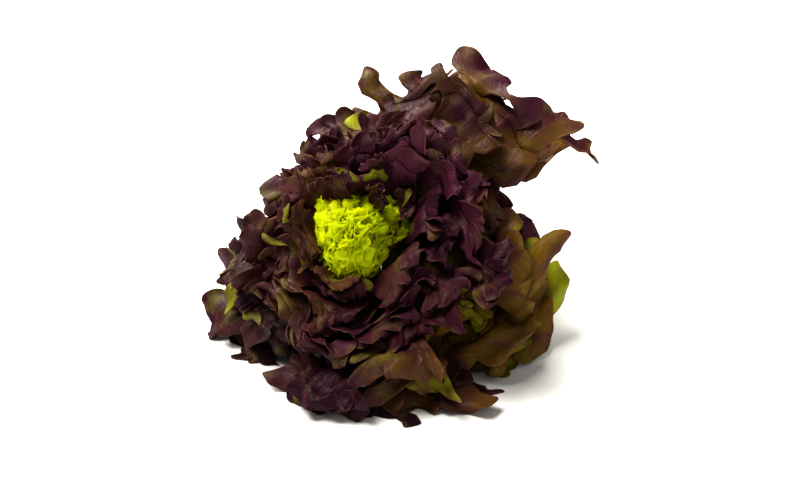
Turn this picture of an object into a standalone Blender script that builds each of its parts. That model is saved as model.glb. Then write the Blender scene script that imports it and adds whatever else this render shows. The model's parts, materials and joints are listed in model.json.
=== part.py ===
"""A head of red oak-leaf lettuce, cut at the stem and lying on its side on a table.

The leaves grow from a short stem in rings. Every ring lies in a nested layer round the
head's axis, so the leaves press close together and never cross. The heart's small frilled
leaves fill the middle. Metres, +Z up; the camera's side of the head is -Y.
"""

import math

import bmesh
import bpy
import numpy as np
from mathutils import Vector

# How the head lies: its axis runs from the cut stem, low at the back, to the heart in front.
AXIS_RISE = math.radians(36)
AXIS_TURN = math.radians(20)

# The stem: a cut stub, then a rounded core inside the leaf bases.
STUB_RADIUS = 0.016
STUB_LENGTH = 0.010
STEM_RADIUS = 0.019
STEM_HEIGHT = 0.050
ROOT_GAP = 0.0015

# The leaf layers. Layer 1 is the outermost and layer 0 is the axis itself.
OUTER_TIP_ANGLE = math.radians(101)
BASE_SHARE = 0.56
FLARE_POWER = 2.6
INNER_REACH = 0.1425
OUTER_REACH = 0.128
LAYER_START = 0.020
PRESS_POWER = 2.0
PRESS_SOFTNESS = 0.02
TABLE_DIP = 0.001

# A blade's thickness at its root and over its lobes, and the room it keeps from the next layer.
ROOT_THICKNESS = 0.0020
BLADE_THICKNESS = 0.00095
LAYER_CLEARANCE = 0.0032

# A leaf's outline: where the stalk ends, where the blade is widest, and how deep its lobes are cut.
BLADE_START = 0.28
WIDEST = 0.83
TIP_END = 1.006
LOBE_DEPTH = 0.42
# How far the lobes sweep, as a share of the distance from the rib: forward low down, back round the tip.
LOBES_FORWARD = 0.30
TIP_BACKWARD = -0.40
EASING = (1.0, 0.75, 0.5, 0.25, 0.0)  # shares of a leaf's bends, tried until none folds too sharply
SHARPEST_FOLD = 0.0  # cosine between neighbouring faces
ROOT_HALF_WIDTH = 0.0055

# Shear waves buckle all the layers alike: (wavelength, height).
WAVES = ((0.085, 0.0080), (0.062, 0.0045), (0.048, 0.0025))
CALM_RADIUS = 0.045
FULL_RADIUS = 0.100
CALM_HEIGHT = 0.030
WAVE_SEED = 41
LEAF_SEED = 80
ROSETTE_SEED = 46
HEART_SEED = 43

# How far the outer tips reach by the clock, seen from the heart: 12 o'clock first.
CLOCK_REACH = (1.00, 1.19, 0.87, 0.84, 0.79, 1.20, 1.18, 1.07, 1.10, 0.94, 0.72, 0.88)

# The large leaves: name, layer, leaves in the ring, half width, lobes a side, rows a lobe.
OUTER_RINGS = (
    ("outer_leaf", 0.95, 7, 0.048, 3, 3),
    ("outer_leaf", 0.855, 7, 0.047, 3, 3),
    ("middle_leaf", 0.76, 7, 0.045, 3, 3),
    ("middle_leaf", 0.67, 7, 0.043, 3, 3),
    ("inner_leaf", 0.58, 7, 0.040, 2, 3),
    ("inner_leaf", 0.495, 7, 0.038, 2, 3),
    ("inner_leaf", 0.415, 7, 0.035, 2, 3),
)
RING_STEP = 0.085

# The rosette of small leaves is a cup, (radius, height), with rings of blades on it:
# layer, blades in the ring, half width, root, leaf rows a lobe, leaf columns.
ROSETTE_CORE = ((0.0, 0.0508), (0.010, 0.0515), (0.0165, 0.080), (0.016, 0.092), (0.012, 0.090), (0.0085, 0.064), (0.0, 0.062))
ROSETTE_ROOT_LAYER = 0.155
ROSETTE_RINGS = (
    (0.335, 8, 0.032, 0.068, 2, 3),
    (0.280, 8, 0.027, 0.072, 2, 3),
    (0.225, 7, 0.023, 0.076, 2, 3),
    (0.170, 6, 0.019, 0.080, 2, 3),
)
# The heart: a bud inside the cup, with rings of tiny frilled blades on it.
HEART_CORE = ((0.0, 0.0640), (0.006, 0.066), (0.0085, 0.085), (0.009, 0.105), (0.006, 0.118), (0.0, 0.122))
HEART_ROOT_LAYER = 0.04
HEART_RINGS = (
    (0.110, 7, 0.014, 0.098, 2, 2),
    (0.080, 7, 0.012, 0.103, 2, 2),
    (0.048, 5, 0.010, 0.108, 2, 2),
    (0.018, 3, 0.008, 0.112, 2, 2),
)

LEAF_GREEN = (0.30, 0.42, 0.03, 1.0)
LEAF_PURPLE = (0.10, 0.02, 0.05, 1.0)
LEAF_BROWN = (0.22, 0.10, 0.05, 1.0)
HEART_LIME = (0.62, 0.72, 0.02, 1.0)
STEM_CREAM = (0.75, 0.78, 0.55, 1.0)

AXIS = np.array(
    (
        -math.sin(AXIS_TURN) * math.cos(AXIS_RISE),
        -math.cos(AXIS_TURN) * math.cos(AXIS_RISE),
        math.sin(AXIS_RISE),
    )
)
TWELVE = (np.array((0.0, 0.0, 1.0)) - AXIS[2] * AXIS) / math.cos(AXIS_RISE)
THREE = np.cross(-AXIS, TWELVE)
STEM_BASE = np.array((0.0, 0.0, STUB_LENGTH * math.sin(AXIS_RISE) + STUB_RADIUS * math.cos(AXIS_RISE)))


def smooth_step(x):
    """0 below 0, 1 above 1, and a smooth rise between."""
    x = np.clip(x, 0, 1)
    return x * x * (3 - 2 * x)


def layer_reach(layer):
    """How far from the stem's base a layer's tips lie."""
    return INNER_REACH + (OUTER_REACH - INNER_REACH) * np.clip(layer, 0, 1) ** 2


def free_angle(radius, layer):
    """A layer's angle from the axis, flaring towards its tips."""
    along = np.clip((radius - LAYER_START) / (layer_reach(layer) - LAYER_START), 0, 1.25)
    return OUTER_TIP_ANGLE * layer * (BASE_SHARE + (1 - BASE_SHARE) * along**FLARE_POWER)


def table_angle(radius, clock):
    """The angle from the axis at which a point this far out meets the table."""
    lean = np.arctan2(math.cos(AXIS_RISE) * np.cos(clock), math.sin(AXIS_RISE))
    slope = np.hypot(math.sin(AXIS_RISE), math.cos(AXIS_RISE) * np.cos(clock))
    drop = np.clip((STEM_BASE[2] + TABLE_DIP) / (radius * slope), -1, 1)
    return lean + np.arccos(-drop)


def layer_angle(radius, layer, clock):
    """The layer's angle once the table has pressed the layers together underneath."""
    outermost = free_angle(radius, OUTER_RINGS[0][1])
    excess = table_angle(radius, clock) ** -PRESS_POWER - outermost**-PRESS_POWER
    press = 0.5 * (excess + np.hypot(excess, PRESS_SOFTNESS))
    return (free_angle(radius, layer) ** -PRESS_POWER + press) ** (-1 / PRESS_POWER)


def place(radius, angle, clock):
    """The point at this distance from the stem's base, angle from the axis and clock angle."""
    side = np.cos(clock)[..., None] * TWELVE + np.sin(clock)[..., None] * THREE
    return STEM_BASE + radius[..., None] * (np.cos(angle)[..., None] * AXIS + np.sin(angle)[..., None] * side)


def make_waves(seed):
    """Shear waves, each pushing across its own direction, so that layers never meet."""
    rng = np.random.default_rng(seed)
    waves = []
    for length, height in WAVES:
        along = rng.normal(size=3)
        along /= np.linalg.norm(along)
        push = np.cross(along, rng.normal(size=3))
        push *= height / np.linalg.norm(push)
        waves.append((2 * math.pi / length * along, push, rng.uniform(0, 2 * math.pi)))
    return waves


def buckle(points, waves):
    """Points moved by the shear waves, which die out at the stem and at the table."""
    distance = np.linalg.norm(points - STEM_BASE, axis=-1)
    free = smooth_step((distance - CALM_RADIUS) / (FULL_RADIUS - CALM_RADIUS))
    for along, push, phase in waves:
        shift = (free * np.sin(points @ along + phase))[..., None] * push
        shift[..., 2] *= smooth_step(points[..., 2] / CALM_HEIGHT)
        points = points + shift
    return points


def clock_reach(clock):
    """The tips' reach at a clock angle, read between the hours."""
    hours = np.arange(13)
    return float(np.interp(math.degrees(clock) % 360 / 30, hours, CLOCK_REACH + CLOCK_REACH[:1]))


class Blade:
    """One leaf: where it grows, how long and wide it is, and how each of its lobes bends."""

    def __init__(self, rng, layer, step, clock, crowd, half_width, lobes, reach, root=None, root_layer=None):
        self.layer = layer
        self.root_layer = layer if root_layer is None else root_layer
        self.step = step
        self.clock = clock
        self.lobes = lobes
        self.root = stem_reach(free_angle(0.03, layer)) + ROOT_GAP if root is None else root
        tip = layer_reach(layer) * reach * rng.uniform(0.96, 1.03)
        self.length = tip - self.root
        self.half_width = half_width * rng.uniform(0.92, 1.06)
        self.most_turn = crowd
        self.lobe_bend = rng.uniform(0.4, 0.85, (2, lobes)) * rng.choice((-1.0, 1.0), (2, lobes))
        self.lobe_size = rng.uniform(0.82, 1.0, (2, lobes))
        self.tip_bend = rng.uniform(-0.7, 0.9)
        self.rib_phase = rng.uniform(0, 2 * math.pi)
        self.tilt = rng.uniform(-0.25, 0.25)

    def lobe_arch(self, along, side):
        """(rise, size, bend) of the lobe that this point of the margin belongs to."""
        place_in_row = np.clip((along - BLADE_START) / (1 - BLADE_START), 0, 0.9999) * self.lobes
        index = place_in_row.astype(int)
        rise = np.sin(np.pi * (place_in_row - index)) ** 0.6
        rise = np.where(place_in_row > self.lobes - 0.5, 1.0, rise)
        rise = np.where(along < BLADE_START, 1.0, rise)
        row = (side > 0).astype(int)
        return rise, self.lobe_size[row, index], self.lobe_bend[row, index]

    def outline(self, along, side):
        """Half width at a share of the length, as a share of the widest."""
        swell = (along / WIDEST) ** 1.8 * ((TIP_END - along) / (TIP_END - WIDEST)) ** 0.45
        rise, size, _ = self.lobe_arch(along, side)
        return np.maximum(swell * size * (1 - LOBE_DEPTH * (1 - rise)), ROOT_HALF_WIDTH / self.half_width)

    def sheet(self, along, across, waves, ease=1.0):
        """The blade's middle surface at shares of its length (0 to 1) and width (-1 to 1), its bends eased."""
        side = np.sign(across)
        share = self.outline(along, side)
        width = across * self.half_width * share
        sweep = np.abs(width) * np.interp(along, (0.35, 1.0), (LOBES_FORWARD, TIP_BACKWARD))
        radius = self.root + along * self.length + sweep
        level = self.root_layer + (self.layer - self.root_layer) * smooth_step(along / 0.6)
        girth = radius * np.sin(layer_angle(radius, level, np.full_like(radius, self.clock)))
        widest = self.half_width / np.interp(0.8, along[:, 0], girth[:, girth.shape[1] // 2])
        turn = width / girth * min(1.0, self.most_turn / widest)
        clock = self.clock + turn
        rise, _, bend = self.lobe_arch(along, side)
        free = smooth_step((along - 0.15) / 0.35)
        wave = free * (
            bend * rise * share * np.abs(across) ** 1.4
            + 0.35 * np.sin(7.0 * along + self.rib_phase) * (1 - across**2)
            + self.tip_bend * smooth_step((along - 0.8) / 0.2) * (1 - np.abs(across))
            + self.tilt * across
        )
        gap = radius * (layer_angle(radius, level, clock) - layer_angle(radius, level - self.step, clock))
        room = ease * 0.43 * self.step * np.clip(1 - LAYER_CLEARANCE / gap, 0, 1)
        angle = layer_angle(radius, level + room * np.clip(wave, -1, 1), clock)
        points = buckle(place(radius, angle, clock), waves)
        points[..., 2] = np.maximum(points[..., 2], blade_thickness(along, across) / 2)
        return points


def blade_thickness(along, across):
    """Thick at the rib's root, thin over the lobes."""
    root = np.exp(-((along / 0.25) ** 2)) * (1 - 0.5 * across**2)
    return BLADE_THICKNESS + (ROOT_THICKNESS - BLADE_THICKNESS) * root


def stem_reach(angle):
    """How far the stem's surface lies from its base, at an angle from the axis."""
    return 1 / math.hypot(math.sin(angle) / STEM_RADIUS, math.cos(angle) / STEM_HEIGHT)


def make_material(name, colour, roughness):
    """A plain finish in the part's colour."""
    material = bpy.data.materials.new(name)
    material.use_nodes = True
    shader = material.node_tree.nodes["Principled BSDF"]
    shader.inputs["Base Color"].default_value = colour
    shader.inputs["Roughness"].default_value = roughness
    shader.inputs["Metallic"].default_value = 0.0
    material.diffuse_color = colour
    return material


def blade_rows(blade, rows_a_lobe):
    """The shares of the length at which a blade has a row of vertices: its sinuses and lobes."""
    stalk = np.linspace(0, BLADE_START, rows_a_lobe)[:-1]
    lobes = np.linspace(BLADE_START, 1, rows_a_lobe * blade.lobes + 1)
    return np.concatenate([stalk, lobes])


def sharpest_fold(sheet):
    """The cosine of the sharpest angle between two neighbouring faces."""
    sheet.normal_update()
    inner = [edge.link_faces for edge in sheet.edges if len(edge.link_faces) == 2]
    return min(first.normal.dot(second.normal) for first, second in inner)


def lay_sheet(sheet, blade, rows, columns, waves, ease):
    """Fills an empty bmesh with the blade's grid in triangles, and returns each vertex's cell."""
    along, across = np.meshgrid(rows, np.linspace(-1, 1, columns + 1), indexing="ij")
    points = blade.sheet(along, across, waves, ease)
    bmesh.ops.create_grid(sheet, x_segments=columns, y_segments=len(rows) - 1, size=1.0)
    cells = []
    for vertex in sheet.verts:
        row = round((vertex.co.y + 1) / 2 * (len(rows) - 1))
        column = round((vertex.co.x + 1) / 2 * columns)
        cells.append((rows[row], 2 * column / columns - 1))
        vertex.co = points[row, column]
    bmesh.ops.triangulate(sheet, faces=sheet.faces[:])
    return cells


def make_blade(name, blade, waves, material, collection, rows_a_lobe=3, columns=4):
    """A leaf as a lobed sheet, bent into its layer and thickened. It bends less where it would fold over."""
    mesh = bpy.data.meshes.new(name)
    for ease in EASING:
        sheet = bmesh.new()
        cells = lay_sheet(sheet, blade, blade_rows(blade, rows_a_lobe), columns, waves, ease)
        if sharpest_fold(sheet) > SHARPEST_FOLD or ease == EASING[-1]:
            break
        sheet.free()
    sheet.to_mesh(mesh)
    sheet.free()
    mesh.materials.append(material)
    leaf = bpy.data.objects.new(name, mesh)
    collection.objects.link(leaf)
    group = leaf.vertex_groups.new(name="thickness")
    for index, (along, across) in enumerate(cells):
        share = float(blade_thickness(along, across) / ROOT_THICKNESS)
        group.add([index], share, "REPLACE")
    thicken = leaf.modifiers.new("thickness", "SOLIDIFY")
    thicken.thickness = ROOT_THICKNESS
    thicken.offset = 0.0
    thicken.vertex_group = group.name
    return leaf


def make_turned(name, profile, waves, material, collection, steps=16):
    """A closed solid turned about the head's axis from (radius, height), and moved by the waves."""
    mesh = bpy.data.meshes.new(name)
    solid = bmesh.new()
    corners = [solid.verts.new((radius, 0.0, height)) for radius, height in profile]
    edges = [solid.edges.new(pair) for pair in zip(corners, corners[1:])]
    bmesh.ops.spin(solid, geom=corners + edges, axis=(0, 0, 1), angle=2 * math.pi, steps=steps, use_merge=True)
    bmesh.ops.remove_doubles(solid, verts=solid.verts[:], dist=1e-5)
    for vertex in solid.verts:
        x, y, height = vertex.co
        point = STEM_BASE + x * TWELVE + y * THREE + height * AXIS
        vertex.co = buckle(point, waves)
    solid.normal_update()
    bmesh.ops.recalc_face_normals(solid, faces=solid.faces[:])
    bmesh.ops.triangulate(solid, faces=solid.faces[:])
    solid.to_mesh(mesh)
    solid.free()
    mesh.materials.append(material)
    turned = bpy.data.objects.new(name, mesh)
    collection.objects.link(turned)
    return turned


def fill_pockets(mesh):
    """Keeps only the largest shell: the others are the walls of pockets that the blades close off."""
    solid = bmesh.new()
    solid.from_mesh(mesh)
    unseen = set(solid.faces)
    shells = []
    while unseen:
        front = [unseen.pop()]
        shell = list(front)
        while front:
            pairs = [edge.link_faces for edge in front.pop().edges if len(edge.link_faces) == 2]
            near = {other for pair in pairs for other in pair} & unseen
            unseen -= near
            front.extend(near)
            shell.extend(near)
        shells.append(shell)
    shells.sort(key=len)
    for shell in shells[:-1]:
        bmesh.ops.delete(solid, geom=shell, context="FACES")
    solid.to_mesh(mesh)
    solid.free()


def fuse(core, blades):
    """Joins a collection of blades to the core they grow from, as one solid, and removes them."""
    union = core.modifiers.new("fused", "BOOLEAN")
    union.operation = "UNION"
    union.solver = "MANIFOLD"
    union.operand_type = "COLLECTION"
    union.collection = blades
    graph = bpy.context.evaluated_depsgraph_get()
    fused = bpy.data.meshes.new_from_object(core.evaluated_get(graph))
    core.modifiers.remove(union)
    fill_pockets(fused)
    core.data = fused
    for blade in list(blades.objects):
        bpy.data.objects.remove(blade, do_unlink=True)
    bpy.data.collections.remove(blades)
    core.data.materials.clear()


def make_stem(waves, material, collection):
    """The cut stub and the rounded core that the leaves grow from."""
    crown = [
        (STEM_RADIUS * math.sin(angle), STEM_HEIGHT * math.cos(angle))
        for angle in np.linspace(0, math.radians(82), 9)
    ]
    stub = [(STUB_RADIUS, -0.4 * STUB_LENGTH), (STUB_RADIUS, -STUB_LENGTH), (0.0, -STUB_LENGTH)]
    return make_turned("stem", crown + stub, waves, material, collection)


def ring_of_blades(rng, layer, count, half_width, lobes, step, turn, crowd=0.90, **root):
    """The blades of one ring, evenly spaced round the axis with a little scatter."""
    blades = []
    for index in range(count):
        scatter = rng.uniform(-0.05, 0.05) * 2 * math.pi / count
        clock = (turn + index) * 2 * math.pi / count + scatter
        reach = 1.0 if root else clock_reach(clock)
        most_turn = crowd * math.pi / count
        blades.append(Blade(rng, layer, step, clock, most_turn, half_width, lobes, reach, **root))
    return blades


def make_outer_leaves(waves, material, collection):
    """Every large leaf, ring by ring from the outside, each its own piece."""
    rng = np.random.default_rng(LEAF_SEED)
    counts = {}
    for ring, (name, layer, count, half_width, lobes, rows_a_lobe) in enumerate(OUTER_RINGS):
        for blade in ring_of_blades(rng, layer, count, half_width, lobes, RING_STEP * 0.95, 0.5 * (ring % 2)):
            counts[name] = counts.get(name, 0) + 1
            make_blade(f"{name}_{counts[name]:02d}", blade, waves, material, collection, rows_a_lobe)


def make_cluster(name, profile, root_layer, rings, seed, waves, material, collection):
    """Small leaves that crowd together, fused to the core that they grow from."""
    rng = np.random.default_rng(seed)
    core = make_turned(name, profile, waves, material, collection, steps=12)
    blades = bpy.data.collections.new(name + "_blades")
    bpy.context.scene.collection.children.link(blades)
    for ring, (layer, count, half_width, root, rows_a_lobe, columns) in enumerate(rings):
        turn = 0.5 * (ring % 2)
        grown = ring_of_blades(rng, layer, count, half_width, 2, 0.05, turn, 1.4, root=root, root_layer=root_layer)
        for index, blade in enumerate(grown):
            make_blade(f"{name}_{ring}_{index}", blade, waves, material, blades, rows_a_lobe, columns)
    fuse(core, blades)
    core.data.materials.append(material)


def stand_on_origin(collection):
    """Parents the pieces to an empty that brings their bottom centre to the origin."""
    bpy.context.view_layer.update()
    graph = bpy.context.evaluated_depsgraph_get()
    corners = []
    for piece in collection.objects:
        mesh = piece.evaluated_get(graph).to_mesh()
        places = np.empty(len(mesh.vertices) * 3, np.float32)
        mesh.vertices.foreach_get("co", places)
        corners.append(places.reshape(-1, 3).min(axis=0))
        corners.append(places.reshape(-1, 3).max(axis=0))
        piece.evaluated_get(graph).to_mesh_clear()
    low, high = np.min(corners, axis=0), np.max(corners, axis=0)
    holder = bpy.data.objects.new("lettuce", None)
    holder.location = (-(low[0] + high[0]) / 2, -(low[1] + high[1]) / 2, -low[2])
    for piece in collection.objects:
        piece.parent = holder
    collection.objects.link(holder)


def main():
    for old in list(bpy.data.objects):
        bpy.data.objects.remove(old, do_unlink=True)
    head = bpy.data.collections.new("lettuce_head")
    bpy.context.scene.collection.children.link(head)
    waves = make_waves(WAVE_SEED)
    make_stem(waves, make_material("stem_cream", STEM_CREAM, 0.5), head)
    make_outer_leaves(waves, make_material("leaf_purple", LEAF_PURPLE, 0.45), head)
    brown = make_material("leaf_brown", LEAF_BROWN, 0.45)
    make_cluster("rosette", ROSETTE_CORE, ROSETTE_ROOT_LAYER, ROSETTE_RINGS, ROSETTE_SEED, waves, brown, head)
    lime = make_material("heart_lime", HEART_LIME, 0.45)
    make_cluster("heart", HEART_CORE, HEART_ROOT_LAYER, HEART_RINGS, HEART_SEED, waves, lime, head)
    stand_on_origin(head)


main()
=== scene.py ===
"""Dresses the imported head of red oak-leaf lettuce for its render.

The large leaves, the rosette of small leaves, the frilled heart, the cut stem and a few drops
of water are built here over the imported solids. The head grows by the same rule as the solids
do, so every leaf lies in the layer that its solid keeps free for it.
"""

import json
import logging
import math
from dataclasses import dataclass, field
from enum import Enum
from typing import ClassVar

import bpy
import numpy as np
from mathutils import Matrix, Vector
from mathutils.bvhtree import BVHTree

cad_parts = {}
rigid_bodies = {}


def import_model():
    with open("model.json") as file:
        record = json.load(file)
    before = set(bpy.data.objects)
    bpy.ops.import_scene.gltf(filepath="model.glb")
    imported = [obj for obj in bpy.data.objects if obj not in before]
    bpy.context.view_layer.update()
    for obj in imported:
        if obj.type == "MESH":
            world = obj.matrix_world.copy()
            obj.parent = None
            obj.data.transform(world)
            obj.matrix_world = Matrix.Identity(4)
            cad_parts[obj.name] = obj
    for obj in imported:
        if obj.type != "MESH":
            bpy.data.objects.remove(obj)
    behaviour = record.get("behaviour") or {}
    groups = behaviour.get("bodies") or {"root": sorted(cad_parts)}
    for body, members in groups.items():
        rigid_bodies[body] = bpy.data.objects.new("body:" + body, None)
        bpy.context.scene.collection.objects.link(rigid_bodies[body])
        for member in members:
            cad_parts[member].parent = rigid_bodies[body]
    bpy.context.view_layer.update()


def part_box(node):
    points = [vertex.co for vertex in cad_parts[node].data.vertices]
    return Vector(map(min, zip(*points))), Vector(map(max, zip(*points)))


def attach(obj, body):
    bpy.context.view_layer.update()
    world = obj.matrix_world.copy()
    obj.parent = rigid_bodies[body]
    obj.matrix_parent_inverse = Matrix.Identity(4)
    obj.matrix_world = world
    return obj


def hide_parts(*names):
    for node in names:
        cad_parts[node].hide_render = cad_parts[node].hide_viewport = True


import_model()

PHOTO_WIDTH, PHOTO_HEIGHT = 800, 497
log = logging.getLogger("lettuce")

Array = np.ndarray
Colour = tuple[float, float, float]


def smooth_step(x: Array | float) -> Array:
    """Return 0 below 0, 1 above 1, and a smooth rise between."""
    x = np.clip(x, 0, 1)
    return x * x * (3 - 2 * x)


def at_clock(hourly: tuple[float, ...], clock: float) -> float:
    """Return the value at a clock angle, read between values given for each hour from 12."""
    hours = math.degrees(clock) % 360 / 30
    return float(np.interp(hours, np.arange(13), hourly + hourly[:1]))


def facing(clock: float, degrees: float) -> float:
    """Return 1 where the clock angle is the given one, and 0 opposite it."""
    return 0.5 + 0.5 * math.cos(clock - math.radians(degrees))


# The head's shape


@dataclass
class HeadShape:
    """The nested layers that the whole head grows in, with the sizes of its solids.

    A point of the head has a radius from the stem's base, a layer from 0 at the axis to 1
    outermost, and a clock angle round the axis, seen from the heart.
    """

    axis_rise: float = math.radians(36)
    axis_turn: float = math.radians(20)
    stub_radius: float = 0.016
    stub_length: float = 0.010
    stem_radius: float = 0.019
    stem_height: float = 0.050
    root_gap: float = 0.0015
    outer_tip_angle: float = math.radians(101)
    base_share: float = 0.56
    flare_power: float = 2.6
    inner_reach: float = 0.1425
    outer_reach: float = 0.128
    layer_start: float = 0.020
    press_power: float = 2.0
    press_softness: float = 0.02
    table_dip: float = 0.001
    outermost_layer: float = 0.95
    clock_reaches: tuple[float, ...] = (
        1.00, 1.19, 0.87, 0.84, 0.79, 1.20,
        1.18, 1.07, 1.10, 0.94, 0.72, 0.88,
    )
    waves: tuple[tuple[float, float], ...] = ((0.085, 0.0080), (0.062, 0.0045), (0.048, 0.0025))
    wave_seed: int = 41
    calm_radius: float = 0.045
    full_radius: float = 0.100
    calm_height: float = 0.030
    crumples: tuple[tuple[float, float], ...] = ((0.030, 0.0030), (0.021, 0.0022), (0.0145, 0.0013))
    crumple_seed: int = 12
    heart_rise: float = 0.007
    heart_left: float = 0.0077
    axis: Array = field(init=False)
    twelve: Array = field(init=False)
    three: Array = field(init=False)
    stem_base: Array = field(init=False)
    origin_shift: Array = field(init=False)

    def __post_init__(self) -> None:
        """Derive the head's own axes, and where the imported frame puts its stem."""
        flat = math.cos(self.axis_rise)
        away = (-math.sin(self.axis_turn) * flat, -math.cos(self.axis_turn) * flat)
        self.axis = np.array((*away, math.sin(self.axis_rise)))
        self.twelve = (np.array((0.0, 0.0, 1.0)) - self.axis[2] * self.axis) / flat
        self.three = np.cross(-self.axis, self.twelve)
        height = self.stub_length * math.sin(self.axis_rise) + self.stub_radius * flat
        self.stem_base = np.array((0.0, 0.0, height))
        self._waves = self._draw_waves(self.wave_seed, self.waves)
        self._crumples = self._draw_waves(self.crumple_seed, self.crumples)
        self.origin_shift = np.zeros(3)
        own = self.turned(self.stem_profile(8), 16, crumpled=False).reshape(-1, 3)
        low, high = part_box("stem")
        self.origin_shift = (np.array(low) + np.array(high)) / 2 - (own.min(axis=0) + own.max(axis=0)) / 2

    @staticmethod
    def _draw_waves(seed: int, sizes: tuple[tuple[float, float], ...]) -> list[tuple[Array, Array, float]]:
        """Draw shear waves, each of which pushes across its own direction.

        Args:
            seed: The generator's seed.
            sizes: Each wave's length and height, in metres.

        Returns:
            Each wave's wave vector, push and phase.
        """
        rng = np.random.default_rng(seed)
        drawn = []
        for length, height in sizes:
            along = rng.normal(size=3)
            along /= np.linalg.norm(along)
            push = np.cross(along, rng.normal(size=3))
            push *= height / np.linalg.norm(push)
            drawn.append((2 * math.pi / length * along, push, rng.uniform(0, 2 * math.pi)))
        return drawn

    def layer_reach(self, layer: Array | float) -> Array | float:
        """Return how far from the stem's base a layer's tips lie."""
        return self.inner_reach + (self.outer_reach - self.inner_reach) * np.clip(layer, 0, 1) ** 2

    def free_angle(self, radius: Array | float, layer: Array | float) -> Array | float:
        """Return a layer's angle from the axis, flaring towards its tips.

        Args:
            radius: Distances from the stem's base, in metres.
            layer: Layers, from 0 at the axis to 1 outermost.

        Returns:
            The angle of each point before the table presses the layers.
        """
        along = np.clip((radius - self.layer_start) / (self.layer_reach(layer) - self.layer_start), 0, 1.25)
        flare = (1 - self.base_share) * along**self.flare_power
        return self.outer_tip_angle * layer * (self.base_share + flare)

    def table_angle(self, radius: Array, clock: Array) -> Array:
        """Return the angle from the axis at which a point this far out meets the table.

        Args:
            radius: Distances from the stem's base, in metres.
            clock: Angles round the axis.

        Returns:
            The angle of each point from the axis.
        """
        lean = np.arctan2(math.cos(self.axis_rise) * np.cos(clock), math.sin(self.axis_rise))
        slope = np.hypot(math.sin(self.axis_rise), math.cos(self.axis_rise) * np.cos(clock))
        drop = np.clip((self.stem_base[2] + self.table_dip) / (radius * slope), -1, 1)
        return lean + np.arccos(-drop)

    def layer_angle(self, radius: Array, layer: Array, clock: Array) -> Array:
        """Return the layer's angle once the table has pressed the layers together underneath.

        Args:
            radius: Distances from the stem's base, in metres.
            layer: Layers, from 0 at the axis to 1 outermost.
            clock: Angles round the axis.

        Returns:
            The angle of each point from the axis.
        """
        outermost = self.free_angle(radius, self.outermost_layer)
        excess = self.table_angle(radius, clock) ** -self.press_power - outermost**-self.press_power
        press = 0.5 * (excess + np.hypot(excess, self.press_softness))
        return (self.free_angle(radius, layer) ** -self.press_power + press) ** (-1 / self.press_power)

    def place(self, radius: Array, angle: Array, clock: Array) -> Array:
        """Return the points at a radius, an angle from the axis and a clock angle.

        Args:
            radius: Distances from the stem's base, in metres.
            angle: Angles from the axis.
            clock: Angles round the axis.

        Returns:
            The points, in the frame.
        """
        side = np.cos(clock)[..., None] * self.twelve + np.sin(clock)[..., None] * self.three
        towards = np.cos(angle)[..., None] * self.axis + np.sin(angle)[..., None] * side
        return self.stem_base + radius[..., None] * towards

    def inward(self, angle: Array, clock: Array) -> Array:
        """Return the directions across the layers, towards the axis."""
        side = np.cos(clock)[..., None] * self.twelve + np.sin(clock)[..., None] * self.three
        return np.sin(angle)[..., None] * self.axis - np.cos(angle)[..., None] * side

    def buckle(self, points: Array, crumpled: bool = True) -> Array:
        """Move points by the waves, which die out at the stem and at the table.

        Args:
            points: The points, with the stem's base over the origin.
            crumpled: Whether the finer crumples are added.

        Returns:
            The moved points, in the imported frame.
        """
        distance = np.linalg.norm(points - self.stem_base, axis=-1)
        free = smooth_step((distance - self.calm_radius) / (self.full_radius - self.calm_radius))
        for along, push, phase in self._waves + (self._crumples if crumpled else []):
            shift = (free * np.sin(points @ along + phase))[..., None] * push
            shift[..., 2] *= smooth_step(points[..., 2] / self.calm_height)
            points = points + shift
        return points + self.origin_shift

    def heart_drift(self, radius: Array, level: Array) -> Array:
        """Return how far the inner layers lean over towards 12 o'clock."""
        share = (1 - smooth_step(level / 0.42)) * smooth_step((radius - 0.055) / 0.05)
        return share[..., None] * (self.heart_rise * self.twelve - self.heart_left * self.three)

    def clock_reach(self, clock: float) -> float:
        """Return the tips' reach at a clock angle, read between the hours."""
        return at_clock(self.clock_reaches, clock)

    def stem_reach(self, angle: float) -> float:
        """Return how far the stem's surface lies from its base, at an angle from the axis."""
        return 1 / math.hypot(math.sin(angle) / self.stem_radius, math.cos(angle) / self.stem_height)

    def stem_profile(self, steps: int) -> list[tuple[float, float]]:
        """Return the stem's (radius, height) corners, from its crown to the cut.

        Args:
            steps: How many steps the crown's curve has.

        Returns:
            The corners.
        """
        angles = np.linspace(0, math.radians(82), steps + 1)
        crown = [(self.stem_radius * math.sin(at), self.stem_height * math.cos(at)) for at in angles]
        cut = -self.stub_length
        return crown + [(self.stub_radius, 0.4 * cut), (self.stub_radius, cut), (0.0, cut)]

    def turned(self, profile: list[tuple[float, float]], steps: int, crumpled: bool = True) -> Array:
        """Turn a profile about the axis.

        Args:
            profile: (radius, height) corners.
            steps: How many copies of the profile go round.
            crumpled: Whether the finer crumples are added.

        Returns:
            Points in an array of steps by corners by 3.
        """
        turn = np.arange(steps) * 2 * math.pi / steps
        radius, height = np.array(profile).T
        flat = np.cos(turn)[:, None, None] * self.twelve + np.sin(turn)[:, None, None] * self.three
        points = self.stem_base + radius[None, :, None] * flat + height[None, :, None] * self.axis
        return self.buckle(points, crumpled)

    def from_own_axes(self, points: Array) -> Array:
        """Place and buckle points that are given with +Z along the head's axis.

        Args:
            points: Rows of three, in metres, from the stem's base.

        Returns:
            The points, in the frame.
        """
        placed = points[:, :1] * self.twelve - points[:, 1:2] * self.three + points[:, 2:] * self.axis
        placed = placed + self.heart_drift(np.linalg.norm(points, axis=-1), np.zeros(len(points)))
        return self.buckle(self.stem_base + placed, crumpled=False)


# Meshes


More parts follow.
